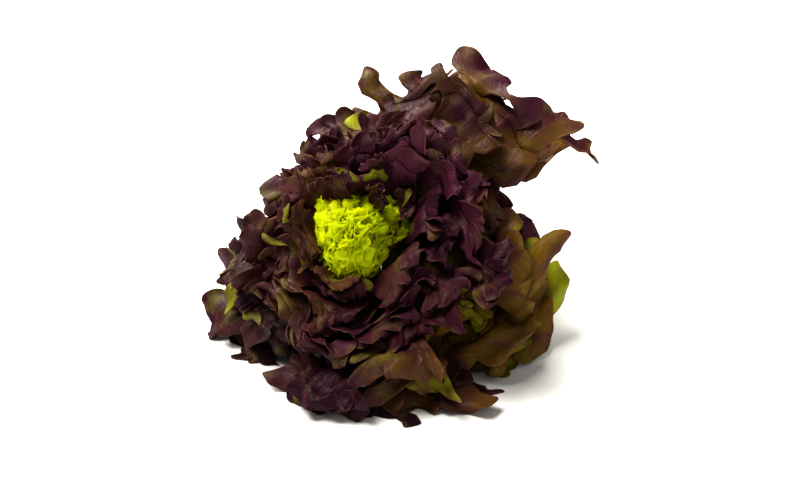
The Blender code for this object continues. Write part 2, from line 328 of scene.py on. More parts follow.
class LeafZone(Enum):
    """Which part of the head a leaf grows in, by the name of its solids."""

    OUTER = "outer_leaf"
    MIDDLE = "middle_leaf"
    INNER = "inner_leaf"


def mesh_object(name: str, points: Array, quads: Array, material: bpy.types.Material) -> bpy.types.Object:
    """Make a smooth-shaded mesh object at the origin.

    Args:
        name: The piece's name.
        points: Vertices, in metres, in the frame.
        quads: Four vertex indices a face.
        material: Its finish.

    Returns:
        The new object, linked to the scene.
    """
    mesh = bpy.data.meshes.new(name)
    mesh.vertices.add(len(points))
    mesh.vertices.foreach_set("co", np.ascontiguousarray(points, np.float32).ravel())
    mesh.loops.add(quads.size)
    mesh.loops.foreach_set("vertex_index", np.ascontiguousarray(quads, np.int32).ravel())
    mesh.polygons.add(len(quads))
    mesh.polygons.foreach_set("loop_start", np.arange(0, quads.size, 4, dtype=np.int32))
    mesh.update(calc_edges=True)
    mesh.shade_smooth()
    mesh.materials.append(material)
    made = bpy.data.objects.new(name, mesh)
    bpy.context.scene.collection.objects.link(made)
    return made


def store(piece: bpy.types.Object, name: str, values: Array) -> None:
    """Store a value for each vertex of a piece, under a name that its finish reads."""
    attribute = piece.data.attributes.new(name, "FLOAT", "POINT")
    attribute.data.foreach_set("value", np.asarray(values, np.float32).ravel())


class SheetMesh:
    """Collects thin closed sheets, with their leaf coordinates, into one mesh."""

    def __init__(self) -> None:
        """Start with no sheets."""
        self._points: list[Array] = []
        self._quads: list[Array] = []
        self._uv: list[Array] = []
        self._values: dict[str, list[Array]] = {}
        self._count = 0

    def add(
        self, middle: Array, inward: Array, thickness: Array, rib: Array, uv: Array, values: dict[str, Array]
    ) -> None:
        """Add one sheet as two skins joined by a rim.

        Args:
            middle: The sheet's middle surface, rows by columns by 3.
            inward: The direction that its upper face looks, alike in shape.
            thickness: The sheet's thickness at each point.
            rib: How far the rib stands out of the under face at each point.
            uv: Leaf coordinates, rows by columns by 2.
            values: Named attributes, rows by columns.
        """
        normal = np.cross(np.gradient(middle, axis=0), np.gradient(middle, axis=1))
        if (normal * inward).sum() < 0:
            middle, thickness, rib, uv = middle[:, ::-1], thickness[:, ::-1], rib[:, ::-1], uv[:, ::-1]
            values = {name: value[:, ::-1] for name, value in values.items()}
            normal = -normal[:, ::-1]
        normal /= np.maximum(np.linalg.norm(normal, axis=-1, keepdims=True), 1e-12)
        rows, columns = middle.shape[:2]
        top = self._count + np.arange(rows * columns).reshape(rows, columns)
        corners = (top[:-1, :-1], top[1:, :-1], top[1:, 1:], top[:-1, 1:])
        upper = np.stack(corners, axis=-1).reshape(-1, 4)
        under = upper[:, ::-1] + rows * columns
        ring = np.concatenate([top[:, 0], top[-1, 1:], top[-2::-1, -1], top[0, -2:0:-1]])
        after = np.roll(ring, -1)
        rim = np.stack([after, ring, ring + rows * columns, after + rows * columns], axis=-1)
        self._quads += [upper, under, rim]
        self._points += [(middle + normal * thickness[..., None] / 2).reshape(-1, 3)]
        self._points += [(middle - normal * (thickness / 2 + rib)[..., None]).reshape(-1, 3)]
        self._uv += [uv.reshape(-1, 2)] * 2
        values = values | {"leaf_side": np.ones((rows, columns))}
        for name, value in values.items():
            both = [value.ravel(), value.ravel() * (name != "leaf_side")]
            self._values.setdefault(name, []).extend(both)
        self._count += 2 * rows * columns

    def build(self, name: str, material: bpy.types.Material) -> bpy.types.Object:
        """Make the mesh object of every sheet added so far.

        Args:
            name: The piece's name.
            material: Its finish.

        Returns:
            The new object.
        """
        quads = np.concatenate(self._quads)
        made = mesh_object(name, np.concatenate(self._points), quads, material)
        layer = made.data.uv_layers.new(name="leaf")
        layer.data.foreach_set("uv", np.concatenate(self._uv)[quads.ravel()].astype(np.float32).ravel())
        for label, values in self._values.items():
            store(made, label, np.concatenate(values))
        return made


# Leaves


@dataclass
class LeafLook:
    """How finely and how deeply a leaf is cut, ruffled and coloured beyond its solid.

    Lengths are in metres and angles in radians. The blade folds into its lobes at fold + trim from its
    end. The bend, fan and twist turn the lobes outwards, apart and about themselves. The cup, crease,
    frill and scallop shape each lobe.
    """

    stalk_rows: int = 18
    lobe_rows: int = 15
    lobe_columns: int = 13
    tip_lobes: int = 4
    lobe_length: float = 0.022
    fold: float = 0.015
    trim: float = 0.0
    bend: float = 1.35
    fan: float = 0.55
    widen: float = 1.05
    cup: tuple[float, float] = (-0.22, 0.26)
    crease: float = 0.0016
    twist: float = 0.80
    frill: float = 0.30
    frills: float = 2.4
    scallop: float = 0.025
    margin: float = 0.0009
    pucker: float = 0.0007
    sinus_depth: float = 0.55
    ruffle: float = 0.25
    ruffle_length: float = 0.017
    thickness: float = 0.0005
    rib_height: float = 0.0030
    purple_start: float = 0.30
    purple_end: float = 0.70
    green: float = 0.0
    green_lobes: float = 0.04
    # Painted light and shade: raises the leaf's tint where light falls and lowers it where shade falls.
    painted_light_shift: float = 0.0


class Leaf:
    """One leaf: where it grows, how long and wide it is, and how each of its lobes bends."""

    blade_start = 0.28
    widest = 0.83
    tip_end = 1.006
    root_half_width = 0.0055
    sweep_forward = 0.30
    sweep_back = -0.15
    full_width_at = 0.66
    clearance = 0.0022
    room_share = 0.46

    def __init__(
        self,
        head: HeadShape,
        rng: np.random.Generator,
        layer: float,
        step: float,
        clock: float,
        crowd: float,
        half_width: float,
        lobes: int,
        reach: float,
        root: float | None = None,
        root_layer: float | None = None,
    ) -> None:
        """Draw one leaf, in the same order as its solid is drawn.

        Args:
            head: The layers that it grows in.
            rng: The seeded generator.
            layer: The leaf's layer.
            step: How far off the next layers are.
            clock: Where on the ring it grows.
            crowd: The most that it may reach round the ring, as an angle.
            half_width: Half its width, in metres.
            lobes: How many lobes it has on a side.
            reach: Its length, as a share of its layer's reach.
            root: Where its root lies, if not on the stem.
            root_layer: The layer of its root, if not its own.
        """
        self.head = head
        self.layer = layer
        self.root_layer = layer if root_layer is None else root_layer
        self.step = step
        self.clock = clock
        self.lobes = lobes
        self.root = head.stem_reach(head.free_angle(0.03, layer)) + head.root_gap if root is None else root
        self.length = head.layer_reach(layer) * reach * rng.uniform(0.96, 1.03) - self.root
        self.half_width = half_width * rng.uniform(0.92, 1.06)
        self.most_turn = crowd
        self.lobe_bend = rng.uniform(0.4, 0.85, (2, lobes)) * rng.choice((-1.0, 1.0), (2, lobes))
        self.lobe_size = rng.uniform(0.82, 1.0, (2, lobes))
        self.tip_bend = rng.uniform(-0.7, 0.9)
        self.rib_phase = rng.uniform(0, 2 * math.pi)
        self.tilt = rng.uniform(-0.25, 0.25)
        self.own = np.random.default_rng(int(self.rib_phase * 1e6))

    def lobe_arch(self, along: Array, side: Array) -> tuple[Array, Array, Array]:
        """Return the rise, size and bend of the lobe that each point of the margin belongs to.

        Args:
            along: Shares of the leaf's length.
            side: -1 on its left and 1 on its right.

        Returns:
            The arch of the lobe, from 0 in a notch to 1 at its middle, and the lobe's size and bend.
        """
        place_in_row = np.clip(self.lobe_place(along), 0, 0.9999 * self.lobes)
        index = place_in_row.astype(int)
        rise = np.sin(np.pi * (place_in_row - index)) ** 0.55
        rise = np.where(place_in_row > self.lobes - 0.5, 1.0, rise)
        rise = np.where(along < self.blade_start, 1.0, rise)
        row = (side > 0).astype(int)
        return rise, self.lobe_size[row, index], self.lobe_bend[row, index]

    def lobe_place(self, along: Array) -> Array:
        """Return how many lobes up the blade a share of the length is."""
        return (along - self.blade_start) / (1 - self.blade_start) * self.lobes

    def outline(self, along: Array, side: Array, look: LeafLook) -> Array:
        """Return the half width at a share of the length, as a share of the widest.

        Args:
            along: Shares of the leaf's length.
            side: -1 on its left and 1 on its right.
            look: How deep its lobes are cut.

        Returns:
            The half widths, as shares of the widest.
        """
        swell = (along / self.widest) ** 1.8 * ((self.tip_end - along) / (self.tip_end - self.widest)) ** 0.45
        rise, size, _ = self.lobe_arch(along, side)
        cut = 1 - look.sinus_depth * (1 - rise)
        return np.maximum(swell * size * cut, self.root_half_width / self.half_width)

    def tip_lobes(self, look: LeafLook) -> "TipLobes":
        """Draw the lobes that the leaf's end is cut into.

        Args:
            look: How many they are, and how far they bend, fan and twist.

        Returns:
            The lobes, drawn from the generator of the leaf itself.
        """
        count = look.tip_lobes
        bounds = np.linspace(-1, 1, count + 1)
        bounds[1:-1] += self.own.uniform(-0.22, 0.22, count - 1) / count
        middle = (bounds[1:] + bounds[:-1]) / 2
        return TipLobes(
            bounds,
            size=self.own.uniform(0.75, 1.25, count),
            bend=look.bend + look.twist * self.own.uniform(-0.7, 0.7, count),
            yaw=look.fan * middle + look.twist * self.own.uniform(-0.45, 0.45, count),
            roll=look.twist * self.own.uniform(-0.9, 0.9, count),
            cup=self.own.uniform(*look.cup, count),
            phase=self.own.uniform(0, 2 * math.pi, count),
            tint=self.own.uniform(0, 1, count),
            green=(self.own.uniform(0, 1, count) < look.green_lobes) * self.own.uniform(0.35, 0.85, count),
        )

    def add_to(self, mesh: SheetMesh, look: LeafLook) -> None:
        """Build the leaf's blade and its lobes and add them to a mesh.

        Args:
            mesh: Where they go.
            look: How they are cut, ruffled and coloured.
        """
        head = self.head
        lobes = self.tip_lobes(look)
        shade = self.own.uniform((-0.08, 0.0, -0.12), (0.08, 1.0, 0.12))
        folds_at = 1 - (look.fold + look.trim) / self.length
        along, across = np.meshgrid(np.linspace(0, folds_at, look.stalk_rows), lobes.columns(), indexing="ij")
        share = self.outline(np.minimum(along, self.full_width_at), np.sign(across), look)
        width = across * self.half_width * share
        sweep = np.abs(width) * np.interp(along, (0.35, 1.0), (self.sweep_forward, self.sweep_back))
        radius = self.root + along * self.length + sweep
        level = self.root_layer + (self.layer - self.root_layer) * smooth_step(along / 0.6)
        girth = radius * np.sin(head.layer_angle(radius, level, np.full_like(radius, self.clock)))
        widest = self.half_width / np.interp(0.8, along[:, 0], girth[:, girth.shape[1] // 2])
        clock = self.clock + width / girth * min(1.0, self.most_turn / widest)
        wave = self.wave(along, across, share, look)
        next_in = head.layer_angle(radius, level - self.step, clock)
        gap = radius * (head.layer_angle(radius, level, clock) - next_in)
        room = self.room_share * self.step * np.clip(1 - self.clearance / gap, 0, 1)
        wave = wave / (1 + np.abs(wave) ** 3) ** (1 / 3)
        angle = head.layer_angle(radius, level + room * wave, clock)
        inward = head.inward(angle, clock)
        points = head.place(radius, angle, clock) + self.pucker(along, width, look)[..., None] * inward
        drift = head.heart_drift(radius, level)
        ends = [lobes.grow(lobe, points + drift, inward, look) for lobe in range(look.tip_lobes)]
        points = head.buckle(points + drift)
        thickness = look.thickness * (1 + 2.0 * np.exp(-((along / 0.25) ** 2)) * (1 - 0.5 * across**2))
        points[..., 2] = np.maximum(points[..., 2], thickness / 2)
        from_rib = np.abs(width) / (0.0009 + 0.0030 * (1 - along))
        rib = look.rib_height * (0.12 + 0.88 * np.clip(1 - along, 0, 1) ** 1.5) * np.exp(-(from_rib**2))
        rib *= np.clip((points[..., 2] - 0.001) / 0.004, 0, 1)
        uv = np.stack([along, lobes.number(across)], axis=-1)
        to_edge = (1 - np.abs(across)) * share * self.half_width
        values = self.values(along, across, width, look, shade)
        values["leaf_margin"] = np.clip(to_edge / look.margin, 0, 1)
        mesh.add(points, inward, thickness, rib, uv, values)
        self._add_lobes(mesh, look, lobes, ends, folds_at, shade)

    def _add_lobes(
        self,
        mesh: SheetMesh,
        look: LeafLook,
        lobes: "TipLobes",
        ends: list[tuple[Array, ...]],
        folds_at: float,
        shade: Array,
    ) -> None:
        """Add the lobes at the leaf's end to its mesh.

        Args:
            mesh: Where they go.
            look: How they are coloured.
            lobes: The lobes.
            ends: What TipLobes.grow returned for each of them.
            folds_at: The share of the leaf's length at which they start.
            shade: The leaf's own shift of the purple, tint and extra olive.
        """
        for lobe, (points, face, out, off, to_edge) in enumerate(ends):
            points = self.head.buckle(points)
            points[..., 2] = np.maximum(points[..., 2], look.thickness / 2 + 0.0004 * out)
            along = folds_at + 0.35 * out
            width = off * self.half_width / look.tip_lobes
            values = self.values(along, lobes.across(lobe, off), width, look, shade)
            values["leaf_margin"] = np.clip(to_edge / look.margin, 0, 1)
            own_tint = 0.7 * smooth_step(2 * out) * (lobes.tint[lobe] - 0.5)
            values["leaf_tint_and_painted_shade"] = np.clip(values["leaf_tint_and_painted_shade"] + own_tint, 0, 1)
            own_green = lobes.green[lobe] * smooth_step(1.6 * out) * (1 - 0.45 * out**3)
            values["leaf_purple"] = values["leaf_purple"] * (1 - own_green)
            uv = np.stack([along, lobe + (off + 1) / 2], axis=-1)
            mesh.add(points, face, np.full_like(out, look.thickness), np.zeros_like(out), uv, values)

    def wave(self, along: Array, across: Array, share: Array, look: LeafLook) -> Array:
        """Return how far each point bends out of its layer, as a share of the room there.

        Args:
            along: Shares of the leaf's length.
            across: Shares of its half width.
            share: The half width there, as a share of the widest.
            look: How it is ruffled.

        Returns:
            The bend of each point, positive away from the axis.
        """
        rise, _, bend = self.lobe_arch(along, np.sign(across))
        reach = np.abs(across)
        free = smooth_step((along - 0.15) / 0.35)
        turns = self.length / look.ruffle_length
        drift = self.own.uniform(0, 2 * math.pi, 2)
        row = (across > 0).astype(int)
        ruffle = np.sin(2 * math.pi * turns * along + drift[row] + 1.5 * np.sin(9 * along + drift[row]))
        return free * (
            0.7 * bend * rise * share * reach**1.4
            + 0.35 * np.sin(7.0 * along + self.rib_phase) * (1 - across**2)
            + self.tip_bend * smooth_step((along - 0.8) / 0.2) * (1 - reach)
            + self.tilt * across
            + look.ruffle * ruffle * reach**2.5 * share
        )

    def pucker(self, along: Array, width: Array, look: LeafLook) -> Array:
        """Return how far the skin between the veins swells.

        Args:
            along: Shares of the leaf's length.
            width: Distances from its rib, in metres.
            look: How much it swells.

        Returns:
            The swelling of each point, in metres.
        """
        swell = 0.0
        for length in (0.016, 0.011, 0.0075):
            turn, first, second = self.own.uniform(0, 2 * math.pi, 3)
            up, side = along * self.length, width
            one = np.sin(2 * math.pi / length * (up * math.cos(turn) + side * math.sin(turn)) + first)
            two = np.sin(2 * math.pi / length * (side * math.cos(turn) - up * math.sin(turn)) + second)
            swell = swell + one * two * length / 0.011
        return look.pucker * swell * smooth_step((along - 0.3) / 0.3)

    def values(
        self, along: Array, across: Array, width: Array, look: LeafLook, shade: Array
    ) -> dict[str, Array]:
        """Return the leaf's attributes: tint with painted light and shade, purple share, rib and green share.

        Args:
            along: Shares of the leaf's length.
            across: Shares of its half width.
            width: Distances from its rib, in metres.
            look: Where its purple starts and ends, how olive it is, and its painted light and shade.
            shade: Its own shift of the purple, tint and extra olive.

        Returns:
            Each attribute's values, by name.
        """
        shift, tint, green = shade
        far = along + 0.15 * np.abs(across) + shift
        even = np.ones_like(along)
        return {
            # The leaf's own tint, plus its painted light and shade.
            "leaf_tint_and_painted_shade": even * (tint + look.painted_light_shift),
            "leaf_purple": smooth_step((far - look.purple_start) / (look.purple_end - look.purple_start)),
            "leaf_rib": np.exp(-((np.abs(width) / (0.0006 + 0.0020 * np.clip(1 - along, 0, 1))) ** 2)),
            "leaf_green": even * np.clip(look.green + green, 0, 1),
        }


@dataclass
class TipLobes:
    """The rounded lobes that a leaf's end is cut into, side by side across the blade."""

    # Columns of faces a lobe has where it grows from the blade, and how near the rib's own columns lie.
    steps: ClassVar[int] = 5
    beside_rib: ClassVar[float] = 0.03
    # Where a lobe's tip starts to close, how fast it does, and how much of it stays open, squared.
    round_from: ClassVar[float] = 0.42
    roundness: ClassVar[float] = 2.2
    tip_width: ClassVar[float] = 0.004
    # The least half width of a lobe, as a share of its length.
    least_half_width: ClassVar[float] = 0.33
    bounds: Array
    size: Array
    bend: Array
    yaw: Array
    roll: Array
    cup: Array
    phase: Array
    tint: Array
    green: Array

    def columns(self) -> Array:
        """Return where the blade has its lines of vertices.

        Returns:
            Shares of the half width, from left to right.
        """
        steps = np.linspace(0, 1, self.steps + 1)
        found = [low + (high - low) * steps for low, high in zip(self.bounds, self.bounds[1:])]
        rib = (-self.beside_rib, 0.0, self.beside_rib)
        return np.unique(np.round(np.concatenate([*found, rib]), 6))

    def number(self, across: Array) -> Array:
        """Return the lobe's number plus the share of it passed, from one side of the leaf."""
        return np.interp(across, self.bounds, np.arange(len(self.bounds)))

    def across(self, lobe: int, off: Array) -> Array:
        """Return the share of the leaf's half width at a place across one lobe."""
        low, high = self.bounds[lobe], self.bounds[lobe + 1]
        return low + (high - low) * (off + 1) / 2

    def grow(self, lobe: int, blade: Array, inward: Array, look: LeafLook) -> tuple[Array, ...]:
        """Build one lobe: a round sheet that bends outwards from the blade's end.

        Args:
            lobe: Which lobe.
            blade: The blade's middle surface, rows by columns by 3.
            inward: The direction that its upper face looks, alike in shape.
            look: How long the lobes are, and how far they bend and frill.

        Returns:
            The lobe's middle surface, the direction its upper face looks, how far out and where across
            the lobe each point lies, and its distance to the margin.
        """
        out, off = np.meshgrid(
            1 - (1 - np.linspace(0, 1, look.lobe_rows)) ** 1.5,
            np.sin(np.linspace(-0.5, 0.5, look.lobe_columns) * math.pi),
            indexing="ij",
        )
        shares = self.across(lobe, off[0])
        foot = np.stack([np.interp(shares, self.columns(), blade[-1, :, axis]) for axis in range(3)], axis=-1)
        base = foot[look.lobe_columns // 2]
        middle = np.abs(self.columns() - self.across(lobe, 0.0)).argmin()
        grow = blade[-1, middle] - blade[-3, middle]
        grow /= np.linalg.norm(grow)
        wide = foot[-1] - foot[0]
        half = np.linalg.norm(wide) / 2
        wide = wide - grow * (wide @ grow)
        wide /= np.linalg.norm(wide)
        face = np.cross(grow, wide)
        face *= np.sign(face @ inward[-1, middle])
        yaw, roll, bend, phase = self.yaw[lobe], self.roll[lobe], self.bend[lobe], self.phase[lobe]
        length = look.lobe_length * self.size[lobe] * min(1.0, 0.35 + 1.9 * half / look.lobe_length)
        half = max(half, self.least_half_width * length)
        # The middle line bends evenly; its side and face directions roll about it.
        turn = bend * out + 1e-6
        ahead = length * np.sin(turn) / turn * out
        over = -length * (1 - np.cos(turn)) / turn * out
        aside = yaw * length * out * (0.5 + 0.5 * out)
        normal = np.sin(turn)[..., None] * grow + np.cos(turn)[..., None] * face
        lean = roll * out
        side = np.cos(lean)[..., None] * wide + np.sin(lean)[..., None] * normal
        normal = np.cos(lean)[..., None] * normal - np.sin(lean)[..., None] * wide
        past = np.maximum(out - self.round_from, 0) / (1 - self.round_from)
        round_tip = np.sqrt(np.clip(1 - past**self.roundness, self.tip_width, 1))
        swell = (1 + look.widen * smooth_step(out / 0.55)) * round_tip
        swell *= 1 + 0.10 * np.sin(7.0 * out + phase + (off > 0) * 2.0) * smooth_step(3 * out)
        width = half * swell
        round_edge = np.clip(np.maximum(np.abs(off), (out - 0.35) / 0.65), 0, 1) ** 3
        about = np.arctan2(off * round_tip, out - 0.45)
        frill = np.sin(look.frills * about + phase) + 0.45 * np.sin(1.8 * look.frills * about - 2 * phase)
        at_edge = round_edge * smooth_step(out * 2.5)
        rise = look.frill * half * at_edge * frill
        bowl = off**2 * np.sqrt(swell) + 2 * np.maximum(out - 0.5, 0) ** 2
        rise -= self.cup[lobe] * half * smooth_step(out * 1.8) * bowl
        rise -= look.crease * np.exp(-((off / 0.16) ** 2)) * out * (1 - out)
        points = base + ahead[..., None] * grow + over[..., None] * face + aside[..., None] * wide
        points = points + (off * width)[..., None] * side + rise[..., None] * normal
        stretch = look.scallop * at_edge * np.sin(2 * look.frills * about + 3 * phase)
        points += (points - points[look.lobe_rows // 2, look.lobe_columns // 2]) * stretch[..., None]
        points += (foot - points[0])[None] * (1 - smooth_step(out / 0.6))[..., None]
        to_edge = np.minimum((1 - out) * length, (1 - np.abs(off)) * width)
        return points, normal, out, off, to_edge


def ring_of_leaves(
    head: HeadShape,
    rng: np.random.Generator,
    layer: float,
    count: int,
    half_width: float,
    lobes: int,
    step: float,
    turn: float,
    crowd: float = 0.90,
    **root: float,
) -> list[Leaf]:
    """Draw the leaves of one ring, evenly spaced round the axis with a little scatter.

    Args:
        head: The layers that they grow in.
        rng: The seeded generator.
        layer: The ring's layer.
        count: How many leaves it has.
        half_width: Half a leaf's width, in metres.
        lobes: How many lobes a leaf has on a side.
        step: How far off the next layers are.
        turn: Where the ring starts, in leaves.
        crowd: How far a leaf may reach to its neighbours.
        **root: Where the roots lie, for small leaves off the stem.

    Returns:
        The leaves, clockwise.
    """
    leaves = []
    for index in range(count):
        scatter = rng.uniform(-0.05, 0.05) * 2 * math.pi / count
        clock = (turn + index) * 2 * math.pi / count + scatter
        reach = 1.0 if root else head.clock_reach(clock)
        most_turn = crowd * math.pi / count
        leaves.append(Leaf(head, rng, layer, step, clock, most_turn, half_width, lobes, reach, **root))
    return leaves


@dataclass
class LargeLeaves:
    """The large leaves, each its own piece over its own solid."""

    head: HeadShape
    rings: tuple[tuple[LeafZone, float, int, float, int], ...] = (
        (LeafZone.OUTER, 0.95, 7, 0.048, 3),
        (LeafZone.OUTER, 0.855, 7, 0.047, 3),
        (LeafZone.MIDDLE, 0.76, 7, 0.045, 3),
        (LeafZone.MIDDLE, 0.67, 7, 0.043, 3),
        (LeafZone.INNER, 0.58, 7, 0.040, 2),
        (LeafZone.INNER, 0.495, 7, 0.038, 2),
        (LeafZone.INNER, 0.415, 7, 0.035, 2),
    )
    step: float = 0.085 * 0.95
    seed: int = 80
    # How olive the leaves are by the clock, seen from the heart: 12 o'clock first.
    olive_by_clock: tuple[float, ...] = (
        0.35, 0.50, 0.75, 1.00, 1.00, 0.52,
        0.10, 0.03, 0.03, 0.12, 0.45, 0.40,
    )
    # How much shorter than its solid a leaf of layer 1 folds, by the clock, on top of the least trim.
    trim_by_clock: tuple[float, ...] = (
        -0.005, 0.018, 0.038, -0.007, 0.008, 0.022,
        0.010, 0.037, 0.008, -0.012, 0.052, -0.001,
    )
    least_trim: float = 0.004
    # Leaves of the outer and middle zones up to this hour have fewer, longer and flatter lobes.
    large_until: float = 5.2
    # Where painted shade darkens the leaves most, as a clock angle in degrees.
    shaded_side: float = 225.0
    purple_start: dict[LeafZone, float] = field(
        default_factory=lambda: {LeafZone.OUTER: 0.34, LeafZone.MIDDLE: 0.27, LeafZone.INNER: 0.20}
    )

    def build(self, material: bpy.types.Material) -> None:
        """Build every large leaf in place of its solid.

        Args:
            material: The leaf's finish.
        """
        rng = np.random.default_rng(self.seed)
        counts: dict[LeafZone, int] = {}
        for ring, (zone, layer, count, half_width, lobes) in enumerate(self.rings):
            turn = 0.5 * (ring % 2)
            for leaf in ring_of_leaves(self.head, rng, layer, count, half_width, lobes, self.step, turn):
                counts[zone] = counts.get(zone, 0) + 1
                name = f"{zone.value}_{counts[zone]:02d}"
                mesh = SheetMesh()
                leaf.add_to(mesh, self.look(zone, leaf))
                settle(mesh.build(f"{name}_blade", material), "leaf_purple", name)

    def look(self, zone: LeafZone, leaf: Leaf) -> LeafLook:
        """Return how one leaf looks, by its zone and where it grows.

        Args:
            zone: The part of the head that it grows in.
            leaf: The leaf.

        Returns:
            Its look: more olive at three and four o'clock, and darkened by painted shade at seven and eight.
        """
        hours = math.degrees(leaf.clock) % 360 / 30
        olive = at_clock(self.olive_by_clock, leaf.clock)
        start = self.purple_start[zone] + 0.20 * olive**2
        trim = self.least_trim + at_clock(self.trim_by_clock, leaf.clock) * leaf.layer
        large = zone is not LeafZone.INNER and hours < self.large_until
        lobes = (5 if zone is LeafZone.INNER else 3 if large else 4) + (hours * 7 % 3 > 2) * (not large)
        return LeafLook(
            tip_lobes=lobes,
            lobe_length=(0.0265 if large else 0.0215) - 0.30 * trim,
            bend=0.80 if large else 1.35,
            twist=0.60 if large else 0.80,
            trim=trim,
            # Painted shade: the leaves darken towards the shaded side, at seven and eight o'clock.
            painted_light_shift=0.10 - 0.75 * facing(leaf.clock, self.shaded_side) ** 2,
            purple_start=start,
            purple_end=start + 0.42,
            green=olive,
            green_lobes=0.03 + 0.26 * olive**4 + 0.10 * max(0.0, 1 - abs(hours - 4.5)),
        )


@dataclass
class Rosette:
    """The small crowded leaves round the heart, one piece over the rosette's solid."""

    head: HeadShape
    # Each ring's layer, number of leaves, half width of a leaf, and distance of its root.
    rings: tuple[tuple[float, int, float, float], ...] = (
        (0.350, 8, 0.030, 0.066),
        (0.300, 8, 0.028, 0.068),
        (0.250, 8, 0.025, 0.070),
        (0.205, 7, 0.023, 0.074),
        (0.160, 6, 0.020, 0.078),
        (0.120, 5, 0.016, 0.082),
    )
    root_layer: float = 0.155
    step: float = 0.042
    crowd: float = 1.35
    seed: int = 46

    def build(self, material: bpy.types.Material) -> None:
        """Build every small leaf as one mesh.

        Args:
            material: The small leaf's finish.
        """
        rng = np.random.default_rng(self.seed)
        mesh = SheetMesh()
        for ring, (layer, count, half_width, root) in enumerate(self.rings):
            place = {"root": root, "root_layer": self.root_layer}
            sizes = (layer, count, half_width, 2, self.step, 0.5 * (ring % 2), self.crowd)
            for leaf in ring_of_leaves(self.head, rng, *sizes, **place):
                leaf.add_to(mesh, self.look(ring, leaf))
        settle(mesh.build("rosette_leaves", material), "leaf_brown", "rosette")

    def look(self, ring: int, leaf: Leaf) -> LeafLook:
        """Return how one leaf looks, by its ring and where it grows.

        Args:
            ring: The ring's number, outermost first.
            leaf: The leaf.

        Returns:
            Its look. Leaves on the left are smaller and more olive, and painted shade darkens them; the
            innermost ones at the top stand up, and those that would cover the heart or pass the outline are
            trimmed.
        """
        share = ring / (len(self.rings) - 1)
        innermost, by_heart, outside = ring == len(self.rings) - 1, ring > 3, ring < 3
        left, top, right, far, nine = (facing(leaf.clock, degrees) for degrees in (240, 20, 120, 325, 285))
        return LeafLook(
            stalk_rows=10,
            lobe_rows=11,
            lobe_columns=11,
            tip_lobes=5 + (ring > 2) + by_heart * (left > 0.6),
            lobe_length=(0.0125 - 0.0045 * share) * (1 - 0.25 * left * by_heart),
            fold=0.009 - 0.003 * share,
            trim=0.034 * right**3 * by_heart + (0.004 * far**4 + 0.014 * nine**16) * outside,
            bend=1.3 + 0.2 * share - (1.9 * top**4 if innermost else 0.0),
            widen=1.15 + 0.5 * share * left,
            cup=(-0.35, 0.35),
            crease=0.0015,
            twist=1.35 - 0.75 * share**2,
            frill=0.42 + 0.35 * share * left,
            frills=3.4,
            scallop=0.045,
            margin=0.0006,
            pucker=0.0005,
            sinus_depth=0.4,
            ruffle=0.35,
            ruffle_length=0.010,
            thickness=0.00045,
            rib_height=0.0012,
            purple_start=0.25 + 0.15 * share,
            purple_end=0.68 + 0.15 * share,
            green=0.02 + 1.1 * share**3 * left**4,
            green_lobes=0.02 + by_heart * (0.5 * top**6 + 0.2 * left**6),
            # Painted shade: the leaves on the left are darker.
            painted_light_shift=0.05 - 0.45 * left**2,
        )


def settle(piece: bpy.types.Object, slot: str, *solids: str) -> bpy.types.Object:
    """Let a finished piece ride the head, and take the place of its solids.

    Args:
        piece: The finished piece.
        slot: Not used.
        *solids: The solids that it stands for.

    Returns:
        The piece.
    """
    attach(piece, "root")
    if solids:
        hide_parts(*solids)
    log.info("%s: %d faces", piece.name, len(piece.data.polygons))
    return piece


# Finishes

Socket = bpy.types.NodeSocket
NAMED_INPUTS = {
    "colour": "Base Color",
    "roughness": "Roughness",
    "specular": "Specular IOR Level",
    "normal": "Normal",
    "ior": "IOR",
    "transmission": "Transmission Weight",
}


class NodeBoard:
    """Adds and links the nodes of one tree."""

    tree: bpy.types.NodeTree

    def node(
        self, kind: str, inputs: dict[str | int, object] | None = None, **settings: object
    ) -> bpy.types.Node:
        """Add a node.

        Args:
            kind: The node's type.
            inputs: Values or sockets for its inputs.
            **settings: The node's own settings.

        Returns:
            The node.
        """
        made = self.tree.nodes.new(kind)
        for name, value in settings.items():
            setattr(made, name, value)
        for name, value in (inputs or {}).items():
            if isinstance(value, Socket):
                self.tree.links.new(value, made.inputs[name])
            elif isinstance(value, tuple) and len(value) == 3 and made.inputs[name].type == "RGBA":
                made.inputs[name].default_value = (*value, 1.0)
            else:
                made.inputs[name].default_value = value
        return made

    def math(self, operation: str, *values: Socket | float, clamp: bool = False) -> Socket:
        """Return the result of a Math node."""
        inputs = dict(enumerate(values))
        return self.node("ShaderNodeMath", inputs, operation=operation, use_clamp=clamp).outputs[0]

    def times(self, *values: Socket | float) -> Socket:
        """Return the product of two values."""
        return self.math("MULTIPLY", *values)


